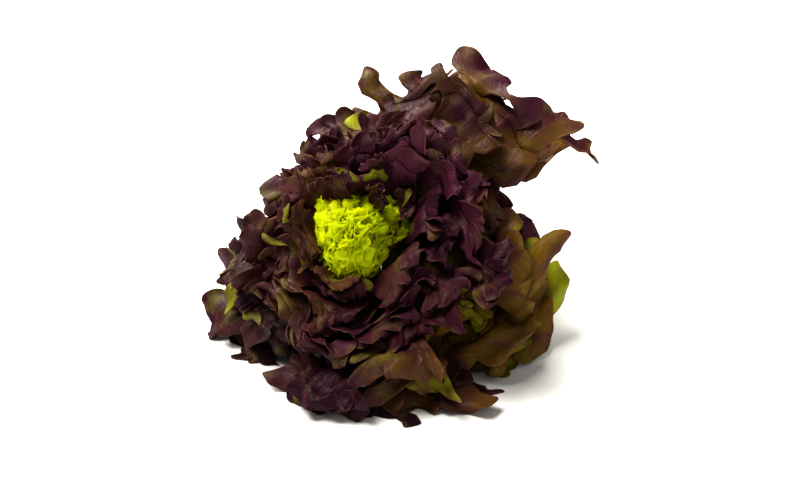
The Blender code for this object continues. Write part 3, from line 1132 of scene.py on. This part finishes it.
class ShaderBoard(NodeBoard):
    """Adds and links the nodes of one material."""

    def __init__(self, name: str) -> None:
        """Start a material with only its output.

        Args:
            name: The material's name.
        """
        self.material = bpy.data.materials.new(name)
        self.material.use_nodes = True
        self.tree = self.material.node_tree
        self.tree.nodes.clear()
        self.output = self.tree.nodes.new("ShaderNodeOutputMaterial")

    def mix(self, factor: Socket | float, first: Socket | Colour, second: Socket | Colour) -> Socket:
        """Return a mix of two colours."""
        inputs = {0: factor, 6: first, 7: second}
        return self.node("ShaderNodeMix", inputs, data_type="RGBA").outputs[2]

    def value(self, name: str) -> Socket:
        """Return a leaf's attribute."""
        return self.node("ShaderNodeAttribute", attribute_name=name).outputs["Fac"]

    def noise(self, scale: float, detail: float = 2.0) -> Socket:
        """Return noise in object coordinates.

        Args:
            scale: How many blotches lie along a metre.
            detail: How many finer layers it has.

        Returns:
            The noise, from 0 to 1.
        """
        place = self.node("ShaderNodeTexCoord").outputs["Object"]
        inputs = {"Vector": place, "Scale": scale, "Detail": detail}
        return self.node("ShaderNodeTexNoise", inputs).outputs[0]

    def step(self, value: Socket, low: float, high: float) -> Socket:
        """Return a smooth rise from 0 at low to 1 at high."""
        inputs = {0: value, 1: low, 2: high}
        return self.node("ShaderNodeMapRange", inputs, interpolation_type="SMOOTHSTEP").outputs[0]

    def bump(self, height: Socket, distance: float, strength: float = 1.0) -> Socket:
        """Return the normal of a height, in metres at most the distance."""
        inputs = {"Height": height, "Distance": distance, "Strength": strength}
        return self.node("ShaderNodeBump", inputs).outputs[0]

    def principled(self, **inputs: object) -> Socket:
        """Return a Principled BSDF, whose inputs go by the short names above."""
        named = {NAMED_INPUTS[name]: value for name, value in inputs.items()}
        return self.node("ShaderNodeBsdfPrincipled", named).outputs[0]

    def finish(self, surface: Socket) -> bpy.types.Material:
        """Link the surface to the output and return the material."""
        self.tree.links.new(surface, self.output.inputs["Surface"])
        return self.material


@dataclass(frozen=True)
class LeafFinish:
    """A thin, veined, satin leaf, from green at its foot to purple at its lobes."""

    name: str
    deep: Colour = (0.0065, 0.0006, 0.0045)
    warm: Colour = (0.085, 0.0190, 0.0440)
    olive: Colour = (0.200, 0.120, 0.002)
    green: Colour = (0.40, 0.42, 0.003)
    vein: Colour = (0.120, 0.032, 0.050)
    green_vein: Colour = (0.34, 0.40, 0.07)
    margin: Colour = (0.24, 0.100, 0.070)
    under: Colour = (0.060, 0.026, 0.030)
    glow: Colour = (0.42, 0.110, 0.070)
    green_glow: Colour = (0.48, 0.62, 0.020)
    roughness: float = 0.49
    specular: float = 0.27
    see_through: float = 0.20
    bump: float = 0.0004
    mottle: float = 55.0
    cells: float = 260.0
    branches: float = 15.0

    def veins(self, board: ShaderBoard) -> tuple[Socket, Socket]:
        """Draw the side veins that run from the rib into each lobe, and the net between them.

        Args:
            board: The material in the making.

        Returns:
            The side veins and the net, each from 0 to 1.
        """
        leaf = board.node("ShaderNodeUVMap", uv_map="leaf").outputs[0]
        split = board.node("ShaderNodeSeparateXYZ", {0: leaf}).outputs
        wander = board.times(board.math("SUBTRACT", board.noise(60.0), 0.5), 0.5)
        off = board.math("ABSOLUTE", board.math("SUBTRACT", board.math("FRACT", split[1]), 0.5))
        off = board.math("ABSOLUTE", board.math("ADD", off, board.times(wander, 0.1)))
        middle = board.step(off, 0.040, 0.008)
        climb = board.times(split[0], self.branches)
        branch = board.math("ADD", board.math("SUBTRACT", climb, board.times(off, 2.6)), wander)
        branch = board.math("ABSOLUTE", board.math("SUBTRACT", board.math("FRACT", branch), 0.5))
        branch = board.times(board.step(branch, 0.085, 0.015), 0.6)
        side = board.math("MAXIMUM", middle, branch)
        place = board.node("ShaderNodeTexCoord").outputs["Object"]
        inputs = {"Vector": place, "Scale": self.cells}
        cells = board.node("ShaderNodeTexVoronoi", inputs, feature="DISTANCE_TO_EDGE").outputs["Distance"]
        return side, board.step(cells, 0.14, 0.0)

    def material(self) -> bpy.types.Material:
        """Make the material.

        Returns:
            The material.
        """
        board = ShaderBoard(self.name)
        side_vein, net = self.veins(board)
        rib = board.value("leaf_rib")
        vein = board.math("MAXIMUM", rib, side_vein)
        blotch = board.noise(self.mottle, 4.0)
        drift = board.times(board.math("SUBTRACT", blotch, 0.45), 1.2)
        purple = board.math("ADD", board.value("leaf_purple"), drift, clamp=True)
        purple = board.times(purple, board.step(board.value("leaf_purple"), 0.0, 0.25))
        broad = board.noise(22.0, 2.0)
        olive = board.times(board.value("leaf_green"), board.step(broad, 0.35, 0.62))
        # The tint between the deep and the warm purple carries the leaf's painted light and shade.
        skin = board.mix(board.value("leaf_tint_and_painted_shade"), self.deep, self.warm)
        skin = board.mix(board.times(board.noise(140.0), 0.5), skin, self.warm)
        skin = board.mix(olive, skin, self.olive)
        skin = board.mix(purple, self.green, skin)
        vein_colour = board.mix(purple, self.green_vein, self.vein)
        skin = board.mix(board.times(vein, 0.55), skin, vein_colour)
        skin = board.mix(board.times(net, 0.07), skin, vein_colour)
        edge = board.math("SUBTRACT", 1.0, board.value("leaf_margin"))
        edge = board.times(edge, board.step(board.noise(45.0), 0.38, 0.66))
        skin = board.mix(board.times(edge, 0.60), skin, self.margin)
        hidden = board.math("SUBTRACT", 1.0, board.value("leaf_side"))
        skin = board.mix(board.times(hidden, 0.45), skin, self.under)
        glow = board.mix(purple, self.green_glow, self.glow)
        glow = board.mix(board.times(vein, 0.4), glow, vein_colour)
        height = board.math("SUBTRACT", board.times(board.noise(300.0), 0.6), board.times(net, 0.25))
        height = board.math("SUBTRACT", height, board.times(side_vein, 0.7))
        normal = board.bump(height, self.bump, 0.8)
        rough = board.math("ADD", board.times(board.noise(90.0), 0.22), self.roughness - 0.10)
        face = board.principled(colour=skin, roughness=rough, specular=self.specular, normal=normal)
        through = board.node("ShaderNodeBsdfTranslucent", {"Color": glow, "Normal": normal}).outputs[0]
        both = board.node("ShaderNodeMixShader", {0: self.see_through, 1: face, 2: through}).outputs[0]
        return board.finish(both)


@dataclass(frozen=True)
class FrillFinish:
    """The heart's bright, thin frills: pale at the edge, and darkened by painted shade in the folds towards
    their feet.
    """

    name: str = "heart_frill"
    bright: Colour = (0.78, 0.80, 0.004)
    fresh: Colour = (0.55, 0.68, 0.006)
    foot: Colour = (0.06, 0.12, 0.003)
    # Painted shade: the dark green that the frills take towards their feet, down among the others.
    glow: Colour = (0.90, 0.92, 0.01)
    roughness: float = 0.42
    specular: float = 0.15
    see_through: float = 0.35

    def material(self) -> bpy.types.Material:
        """Make the material.

        Returns:
            The material.
        """
        board = ShaderBoard(self.name)
        skin = board.mix(board.value("frill_tint"), self.bright, self.fresh)
        skin = board.mix(board.times(board.noise(300.0), 0.4), skin, self.fresh)
        # Painted shade towards each frill's foot.
        skin = board.mix(board.step(board.value("frill_height"), 0.75, 0.15), skin, self.foot)
        normal = board.bump(board.noise(900.0), 0.0003)
        face = board.principled(colour=skin, roughness=self.roughness, specular=self.specular, normal=normal)
        through = board.node("ShaderNodeBsdfTranslucent", {"Color": self.glow}).outputs[0]
        both = board.node("ShaderNodeMixShader", {0: self.see_through, 1: face, 2: through}).outputs[0]
        return board.finish(both)


@dataclass(frozen=True)
class StemFinish:
    """The pale cut stem, browned at the cut, with dark green painted shade among the leaves."""

    name: str = "stem_flesh"
    flesh: Colour = (0.62, 0.62, 0.36)
    browned: Colour = (0.30, 0.13, 0.05)
    green: Colour = (0.36, 0.42, 0.12)
    # Painted shade: the dark colour where the stem lies among the leaves.
    shade_among_leaves: Colour = (0.05, 0.06, 0.004)
    roughness: float = 0.5

    def material(self) -> bpy.types.Material:
        """Make the material.

        Returns:
            The material.
        """
        board = ShaderBoard(self.name)
        skin = board.mix(board.step(board.noise(160.0, 4.0), 0.35, 0.7), self.flesh, self.green)
        cut = board.times(board.value("stem_cut"), board.step(board.noise(260.0, 5.0), 0.3, 0.7))
        skin = board.mix(cut, skin, self.browned)
        # Painted shade over the stem's crown, among the leaves.
        skin = board.mix(board.value("stem_painted_shade"), skin, self.shade_among_leaves)
        normal = board.bump(board.noise(700.0, 4.0), 0.0006)
        return board.finish(board.principled(colour=skin, roughness=self.roughness, normal=normal))


@dataclass(frozen=True)
class WaterFinish:
    """Clear water."""

    name: str = "water"

    def material(self) -> bpy.types.Material:
        """Make the material.

        Returns:
            The material.
        """
        board = ShaderBoard(self.name)
        clear = board.principled(colour=(1.0, 1.0, 1.0), roughness=0.02, ior=1.33, transmission=1.0)
        return board.finish(clear)


# Geometry Nodes


class GeometryBoard(NodeBoard):
    """Builds one Geometry Nodes tree with named inputs, and runs it."""

    def __init__(self, name: str, inputs: dict[str, tuple[str, object]]) -> None:
        """Start a tree.

        Args:
            name: The tree's name.
            inputs: Each named input's kind (Float, Int, Object or Material) and value.
        """
        self.tree = bpy.data.node_groups.new(name, "GeometryNodeTree")
        interface = self.tree.interface
        interface.new_socket("Geometry", in_out="INPUT", socket_type="NodeSocketGeometry")
        interface.new_socket("Geometry", in_out="OUTPUT", socket_type="NodeSocketGeometry")
        self.keys = {}
        self.settings = inputs
        for label, (kind, _) in inputs.items():
            socket = interface.new_socket(label, in_out="INPUT", socket_type=f"NodeSocket{kind}")
            self.keys[label] = socket.identifier
        self.source = self.tree.nodes.new("NodeGroupInput")
        self.target = self.tree.nodes.new("NodeGroupOutput")

    def input(self, label: str) -> Socket:
        """Return a named input."""
        return self.source.outputs[label]

    def vector(self, *parts: Socket | float) -> Socket:
        """Return a vector of three parts."""
        return self.node("ShaderNodeCombineXYZ", dict(enumerate(parts))).outputs[0]

    def random(self, kind: str, low: object, high: object, seed: Socket | int) -> Socket:
        """Return a random field of a kind: FLOAT, INT or FLOAT_VECTOR.

        Args:
            kind: FLOAT, INT or FLOAT_VECTOR.
            low: The least value, or a socket.
            high: The greatest value, or a socket.
            seed: The seed, or a socket.

        Returns:
            The random field.
        """
        picked = self.node("FunctionNodeRandomValue", data_type=kind)
        span = {"FLOAT_VECTOR": (0, 1), "FLOAT": (2, 3), "INT": (4, 5)}[kind]
        for index, value in zip(span, (low, high)):
            if isinstance(value, Socket):
                self.tree.links.new(value, picked.inputs[index])
            else:
                picked.inputs[index].default_value = value
        if isinstance(seed, Socket):
            self.tree.links.new(seed, picked.inputs["Seed"])
        else:
            picked.inputs["Seed"].default_value = seed
        return next(socket for socket in picked.outputs if socket.enabled)

    def run(self, geometry: Socket, carrier: bpy.types.Object, name: str) -> bpy.types.Object:
        """Realize the instances, set the finish, and turn the result into a plain mesh.

        Args:
            geometry: The geometry before it is realized.
            carrier: The object whose mesh the tree starts from; it is removed.
            name: The new piece's name.

        Returns:
            The new piece, linked to the scene.
        """
        solid = self.node("GeometryNodeRealizeInstances", {0: geometry}).outputs[0]
        inputs = {0: solid, "Material": self.input("Finish")}
        dressed = self.node("GeometryNodeSetMaterial", inputs).outputs[0]
        self.tree.links.new(dressed, self.target.inputs[0])
        bpy.context.scene.collection.objects.link(carrier)
        modifier = carrier.modifiers.new("grow", "NODES")
        modifier.node_group = self.tree
        for label, (_, value) in self.settings.items():
            modifier[self.keys[label]] = value
        graph = bpy.context.evaluated_depsgraph_get()
        mesh = bpy.data.meshes.new_from_object(carrier.evaluated_get(graph), depsgraph=graph)
        carrier.modifiers.remove(modifier)
        bpy.data.objects.remove(carrier, do_unlink=True)
        mesh.name = name
        made = bpy.data.objects.new(name, mesh)
        bpy.context.scene.collection.objects.link(made)
        return made


@dataclass
class HeartFrills:
    """The heart: hundreds of tiny ruffled frills on a dome, one piece over the heart's solid."""

    head: HeadShape
    frills: int = 380
    dome_radius: float = 0.0198
    dome_foot: float = 0.102
    dome_height: float = 0.026
    smallest: float = 0.42
    largest: float = 0.80
    lean: float = 0.45
    steepness: float = 1.05
    seed: int = 5
    size_seed: int = 11
    shape_seed: int = 12
    tint_seed: int = 13

    def frill(self, variant: int, material: bpy.types.Material) -> bpy.types.Object:
        """Build one frill: a small closed fan with a ruffled edge, growing up +Z.

        Args:
            variant: Which of the frills.
            material: The frill's finish.

        Returns:
            The frill, unlinked from the scene.
        """
        rng = np.random.default_rng(100 + variant)
        along, across = np.meshgrid(np.linspace(0, 1, 4), np.linspace(-1, 1, 10), indexing="ij")
        phase = rng.uniform(0, 2 * math.pi)
        reach = 0.0140 * along * (1 + 0.07 * np.sin(7.5 * across + phase))
        fan = 1.15 * across
        ruffle = np.sin(2 * math.pi * 1.05 * across + phase + 1.2 * along) * 0.0036 * along**1.2
        curl = -0.0065 * along**2.5
        aside = 0.80 * reach * np.sin(fan) + 0.0012 * across
        points = np.stack([aside, ruffle + curl, reach * np.cos(fan)], axis=-1)
        mesh = SheetMesh()
        toward = np.broadcast_to((0.0, 1.0, 0.0), points.shape)
        even = np.ones_like(along)
        uv = np.stack([along, across], axis=-1)
        mesh.add(points, toward, 0.00055 * even, 0 * even, uv, {"frill_height": along})
        made = mesh.build(f"frill_{variant}", material)
        bpy.context.scene.collection.objects.unlink(made)
        return made

    def dome(self, board: GeometryBoard) -> tuple[Socket, Socket]:
        """Lay the frills' feet on the dome, each a golden angle on from the last.

        Args:
            board: The tree in the making.

        Returns:
            The points, and the direction out of the dome at each.
        """
        index = board.node("GeometryNodeInputIndex").outputs[0]
        share = board.math("DIVIDE", board.math("ADD", index, 0.5), board.input("Frills"))
        share = board.math("SQRT", share)
        turn = board.times(index, math.pi * (3 - math.sqrt(5)))
        out = board.times(share, board.input("Dome Radius"))
        east = board.times(out, board.math("COSINE", turn))
        north = board.times(out, board.math("SINE", turn))
        rise = board.math("SUBTRACT", 1.0, board.math("POWER", share, 2.0))
        height = board.math("MULTIPLY_ADD", rise, board.input("Dome Height"), board.input("Dome Foot"))
        place = board.vector(east, north, height)
        inputs = {"Count": board.input("Frills"), "Position": place, "Radius": 0.001}
        slope = board.math("DIVIDE", board.input("Dome Radius"), self.steepness)
        return board.node("GeometryNodePoints", inputs).outputs[0], board.vector(east, north, slope)

    def tipped(self, board: GeometryBoard, outwards: Socket) -> Socket:
        """Return the frills' rotations: upright on the dome, then spun and leant at random.

        Args:
            board: The tree in the making.
            outwards: The direction out of the dome at each frill.

        Returns:
            Their rotations.
        """
        upright = board.node("FunctionNodeAlignRotationToVector", {"Vector": outwards}, axis="Z").outputs[0]
        lean = board.input("Lean")
        back = board.times(lean, -1.0)
        least, most = board.vector(back, back, -math.pi), board.vector(lean, lean, math.pi)
        spin = board.random("FLOAT_VECTOR", least, most, board.input("Seed"))
        inputs = {0: upright, 1: spin}
        return board.node("FunctionNodeRotateRotation", inputs, rotation_space="LOCAL").outputs[0]

    def build(self, material: bpy.types.Material) -> None:
        """Grow the frills with Geometry Nodes, and lay them on the head.

        Args:
            material: The frill's finish.
        """
        frills = [self.frill(variant, material) for variant in range(3)]
        inputs = {
            "Frills": ("Int", self.frills),
            "Dome Radius": ("Float", self.dome_radius),
            "Dome Foot": ("Float", self.dome_foot),
            "Dome Height": ("Float", self.dome_height),
            "Smallest": ("Float", self.smallest),
            "Largest": ("Float", self.largest),
            "Lean": ("Float", self.lean),
            "Seed": ("Int", self.seed),
            "Finish": ("Material", material),
        }
        inputs |= {f"Frill {index}": ("Object", made) for index, made in enumerate(frills)}
        board = GeometryBoard("heart_frills", inputs)
        points, outwards = self.dome(board)
        shapes = board.node("GeometryNodeJoinGeometry")
        for label in ("Frill 2", "Frill 1", "Frill 0"):
            made = board.node("GeometryNodeObjectInfo", {"Object": board.input(label), "As Instance": True})
            board.tree.links.new(made.outputs["Geometry"], shapes.inputs[0])
        inputs = {
            "Points": points,
            "Instance": shapes.outputs[0],
            "Pick Instance": True,
            "Instance Index": board.random("INT", 0, 2, self.shape_seed),
            "Rotation": self.tipped(board, outwards),
            "Scale": board.random("FLOAT", board.input("Smallest"), board.input("Largest"), self.size_seed),
        }
        planted = board.node("GeometryNodeInstanceOnPoints", inputs).outputs[0]
        tint = board.random("FLOAT", 0.0, 1.0, self.tint_seed)
        inputs = {"Geometry": planted, "Name": "frill_tint", "Value": tint}
        tinted = board.node("GeometryNodeStoreNamedAttribute", inputs, data_type="FLOAT", domain="INSTANCE")
        carrier = bpy.data.objects.new("heart_carrier", bpy.data.meshes.new("carrier"))
        heart = board.run(tinted.outputs[0], carrier, "heart_frills")
        for made in frills:
            bpy.data.objects.remove(made, do_unlink=True)
        points = np.empty(len(heart.data.vertices) * 3, np.float32)
        heart.data.vertices.foreach_get("co", points)
        placed = self.head.from_own_axes(points.reshape(-1, 3).astype(float))
        heart.data.vertices.foreach_set("co", placed.astype(np.float32).ravel())
        heart.data.update()
        settle(heart, "heart_lime", "heart")


# Stem and water


@dataclass
class Stem:
    """The cut stub and the core that the leaves grow from, over the stem's solid."""

    head: HeadShape
    around: int = 64
    # The stub's side, as shares of its radius and length, and its dished cut, as shares and dips.
    stub_corners: tuple[tuple[float, float], ...] = ((1.0, 0.4), (1.0, 0.85), (0.97, 0.97), (0.90, 1.0))
    cut_corners: tuple[tuple[float, float], ...] = ((0.6, 0.0), (0.45, 0.0008), (0.2, 0.0012))
    cut_dip: float = 0.0013
    pole: float = 1e-5
    scar_depth: float = 0.00035

    def build(self, material: bpy.types.Material) -> None:
        """Turn the stem about the head's axis, with leaf scars round the stub.

        Args:
            material: The stem's finish.
        """
        head = self.head
        crown = head.stem_profile(20)[:-3]
        lowest = -head.stub_length
        stub = [(head.stub_radius * share, height * lowest) for share, height in self.stub_corners]
        face = [(head.stub_radius * share, lowest + dip) for share, dip in self.cut_corners]
        profile = [(max(radius, self.pole), height) for radius, height in crown + stub + face]
        profile += [(self.pole, lowest + self.cut_dip)]
        corners = np.array(profile)
        points = head.turned(profile, self.around, crumpled=False)
        turn = np.arange(self.around) * 2 * math.pi / self.around
        bands = np.sin(900 * corners[:, 1]) * (corners[:, 0] > 0.012)
        scar = self.scar_depth * np.sin(5 * turn)[:, None] * bands[None, :]
        outwards = points - (head.stem_base + head.origin_shift + corners[None, :, 1:2] * head.axis)
        outwards /= np.maximum(np.linalg.norm(outwards, axis=-1, keepdims=True), 1e-9)
        points = points - np.abs(scar)[..., None] * outwards
        index = np.arange(points.shape[0] * points.shape[1]).reshape(points.shape[:2])
        after = np.roll(index, -1, axis=0)
        quads = np.stack([index[:, :-1], index[:, 1:], after[:, 1:], after[:, :-1]], axis=-1).reshape(-1, 4)
        flat = points.reshape(-1, 3)
        normal = np.cross(flat[quads[:, 1]] - flat[quads[:, 0]], flat[quads[:, 3]] - flat[quads[:, 0]])
        centre = flat.mean(axis=0)
        if (normal * (flat[quads[:, 0]] - centre)).sum() < 0:
            quads = quads[:, ::-1]
        stem = mesh_object("stem_core", flat, quads, material)
        height = np.broadcast_to(corners[:, 1], index.shape)
        store(stem, "stem_cut", smooth_step((-height - 0.0085) / 0.001))
        # Where painted shade covers the crown, among the leaves.
        store(stem, "stem_painted_shade", smooth_step((height - 0.004) / 0.012))
        merge = stem.modifiers.new("close", "WELD")
        merge.merge_threshold = 5e-5
        graph = bpy.context.evaluated_depsgraph_get()
        stem.data = bpy.data.meshes.new_from_object(stem.evaluated_get(graph))
        stem.modifiers.remove(merge)
        settle(stem, "stem_cream", "stem")


@dataclass
class Droplets:
    """A few drops of water on the leaves, where the camera sees them."""

    pixels: tuple[tuple[float, float], ...] = (
        (336, 311), (345, 362), (307, 338),
        (457, 291), (473, 322), (496, 327),
    )
    seed: int = 3
    smallest: float = 0.0011
    largest: float = 0.0018

    def build(self, studio: "Studio", leaves: list[bpy.types.Object], material: bpy.types.Material) -> None:
        """Set the drops on the leaves with Geometry Nodes.

        Args:
            studio: The camera's place and lens.
            leaves: The leaves that may carry a drop.
            material: The water's finish.
        """
        graph = bpy.context.evaluated_depsgraph_get()
        trees = [BVHTree.FromObject(leaf, graph) for leaf in leaves]
        feet = []
        for column, row in self.pixels:
            origin, direction = studio.sight(column, row)
            hits = [hit for hit in (tree.ray_cast(origin, direction) for tree in trees) if hit[0] is not None]
            if hits:
                feet.append(min(hits, key=lambda hit: hit[3])[0])
        carrier = bpy.data.meshes.new("drop_feet")
        carrier.from_pydata([tuple(foot) for foot in feet], [], [])
        inputs = {
            "Smallest": ("Float", self.smallest),
            "Largest": ("Float", self.largest),
            "Seed": ("Int", self.seed),
            "Finish": ("Material", material),
        }
        board = GeometryBoard("water_drops", inputs)
        ball = board.node("GeometryNodeMeshIcoSphere", {"Radius": 1.0, "Subdivisions": 3}).outputs[0]
        ball = board.node("GeometryNodeSetShadeSmooth", {0: ball}).outputs[0]
        size = board.random("FLOAT", board.input("Smallest"), board.input("Largest"), board.input("Seed"))
        inputs = {"Points": board.source.outputs[0], "Instance": ball, "Scale": size}
        set_down = board.node("GeometryNodeInstanceOnPoints", inputs).outputs[0]
        drops = board.run(set_down, bpy.data.objects.new("drop_carrier", carrier), "water_drops")
        settle(drops, "leaf_purple")


# Studio


@dataclass
class SoftLight:
    """One wide, even light from far off."""

    name: str
    azimuth: float
    elevation: float
    strength: float
    spread: float
    colour: Colour = (1.0, 1.0, 1.0)

    def build(self) -> None:
        """Make the light. Azimuth 0 comes from the camera's side and 90 from the right."""
        data = bpy.data.lights.new(self.name, "SUN")
        data.angle = math.radians(self.spread)
        data.energy = self.strength
        data.color = self.colour
        turn, rise = math.radians(self.azimuth), math.radians(self.elevation)
        towards = Vector((math.sin(turn) * math.cos(rise), -math.cos(turn) * math.cos(rise), math.sin(rise)))
        light = bpy.data.objects.new(self.name, data)
        light.location = towards * 2
        light.rotation_euler = towards.to_track_quat("Z", "Y").to_euler()
        bpy.context.scene.collection.objects.link(light)


@dataclass
class Studio:
    """The pale floor, the soft lights and the camera at the photograph's angle."""

    head: HeadShape
    camera_place: tuple[float, float, float] = (-0.011, -0.7535, 0.4157)
    pitch: float = math.radians(26.7)
    focal_pixels: float = 1307.0
    sensor: float = 36.0
    world_strength: float = 0.14
    floor_half: float = 40.0

    @property
    def place(self) -> Vector:
        """The camera's place in the frame."""
        shift = self.head.origin_shift
        x, y, z = self.camera_place
        return Vector((x + shift[0], y + shift[1], z))

    def sight(self, column: float, row: float) -> tuple[Vector, Vector]:
        """Return the line of sight through a pixel of the photograph, as a point and a direction.

        Args:
            column: The pixel's place from the left.
            row: The pixel's place from the top.

        Returns:
            The camera's place, and the direction of sight.
        """
        right = (column - PHOTO_WIDTH / 2) / self.focal_pixels
        up = (PHOTO_HEIGHT / 2 - row) / self.focal_pixels
        forward = Vector((0, math.cos(self.pitch), -math.sin(self.pitch)))
        upward = Vector((0, math.sin(self.pitch), math.cos(self.pitch)))
        return self.place, (forward + right * Vector((1, 0, 0)) + up * upward).normalized()

    def build(self) -> None:
        """Make the camera, the floor, the sky and the lights."""
        self.make_camera()
        self.make_floor()
        world = bpy.data.worlds.new("studio")
        world.use_nodes = True
        sky = world.node_tree.nodes["Background"]
        sky.inputs["Color"].default_value = (1.0, 1.0, 1.0, 1.0)
        sky.inputs["Strength"].default_value = self.world_strength
        bpy.context.scene.world = world
        for light in (
            SoftLight("key", -66.0, 66.0, 2.9, 26.0, (1.0, 0.97, 0.90)),
            SoftLight("back", -150.0, 46.0, 2.8, 28.0, (1.0, 0.97, 0.88)),
            SoftLight("fill", 25.0, 42.0, 0.45, 60.0, (1.0, 0.97, 0.90)),
        ):
            light.build()
        view = bpy.context.scene.view_settings
        view.view_transform = "Standard"
        view.look = "High Contrast"

    def make_camera(self) -> None:
        """Make the camera, and make it the scene's."""
        data = bpy.data.cameras.new("camera")
        data.sensor_width = self.sensor
        data.lens = self.focal_pixels / PHOTO_WIDTH * self.sensor
        data.clip_start = 0.05
        camera = bpy.data.objects.new("camera", data)
        camera.location = self.place
        camera.rotation_euler = (math.pi / 2 - self.pitch, 0, 0)
        bpy.context.scene.collection.objects.link(camera)
        bpy.context.scene.camera = camera

    def make_floor(self) -> None:
        """Make the plain pale floor."""
        board = ShaderBoard("floor_paper")
        paper = board.principled(colour=(0.93, 0.93, 0.93), roughness=0.7, specular=0.2)
        material = board.finish(paper)
        half = self.floor_half
        corners = np.array(((-half, -half, 0), (half, -half, 0), (half, half, 0), (-half, half, 0)))
        mesh_object("floor", corners, np.array(((0, 1, 2, 3),)), material)


def main() -> None:
    """Build every piece of the head, and the studio round it."""
    logging.basicConfig(level=logging.INFO, format="%(name)s %(message)s")
    head = HeadShape()
    log.info("origin shift %s", np.round(head.origin_shift, 4))
    studio = Studio(head)
    studio.build()
    leaf = LeafFinish("leaf_skin").material()
    small = LeafFinish(
        "small_leaf_skin",
        deep=(0.022, 0.0022, 0.012),
        olive=(0.25, 0.150, 0.010),
        cells=340.0,
        branches=9.0,
    )
    Stem(head).build(StemFinish().material())
    LargeLeaves(head).build(leaf)
    Rosette(head).build(small.material())
    HeartFrills(head).build(FrillFinish().material())
    carriers = [piece for piece in bpy.data.objects if piece.name.endswith(("_blade", "rosette_leaves"))]
    Droplets().build(studio, carriers, WaterFinish().material())


if __name__ == "__main__":
    main()
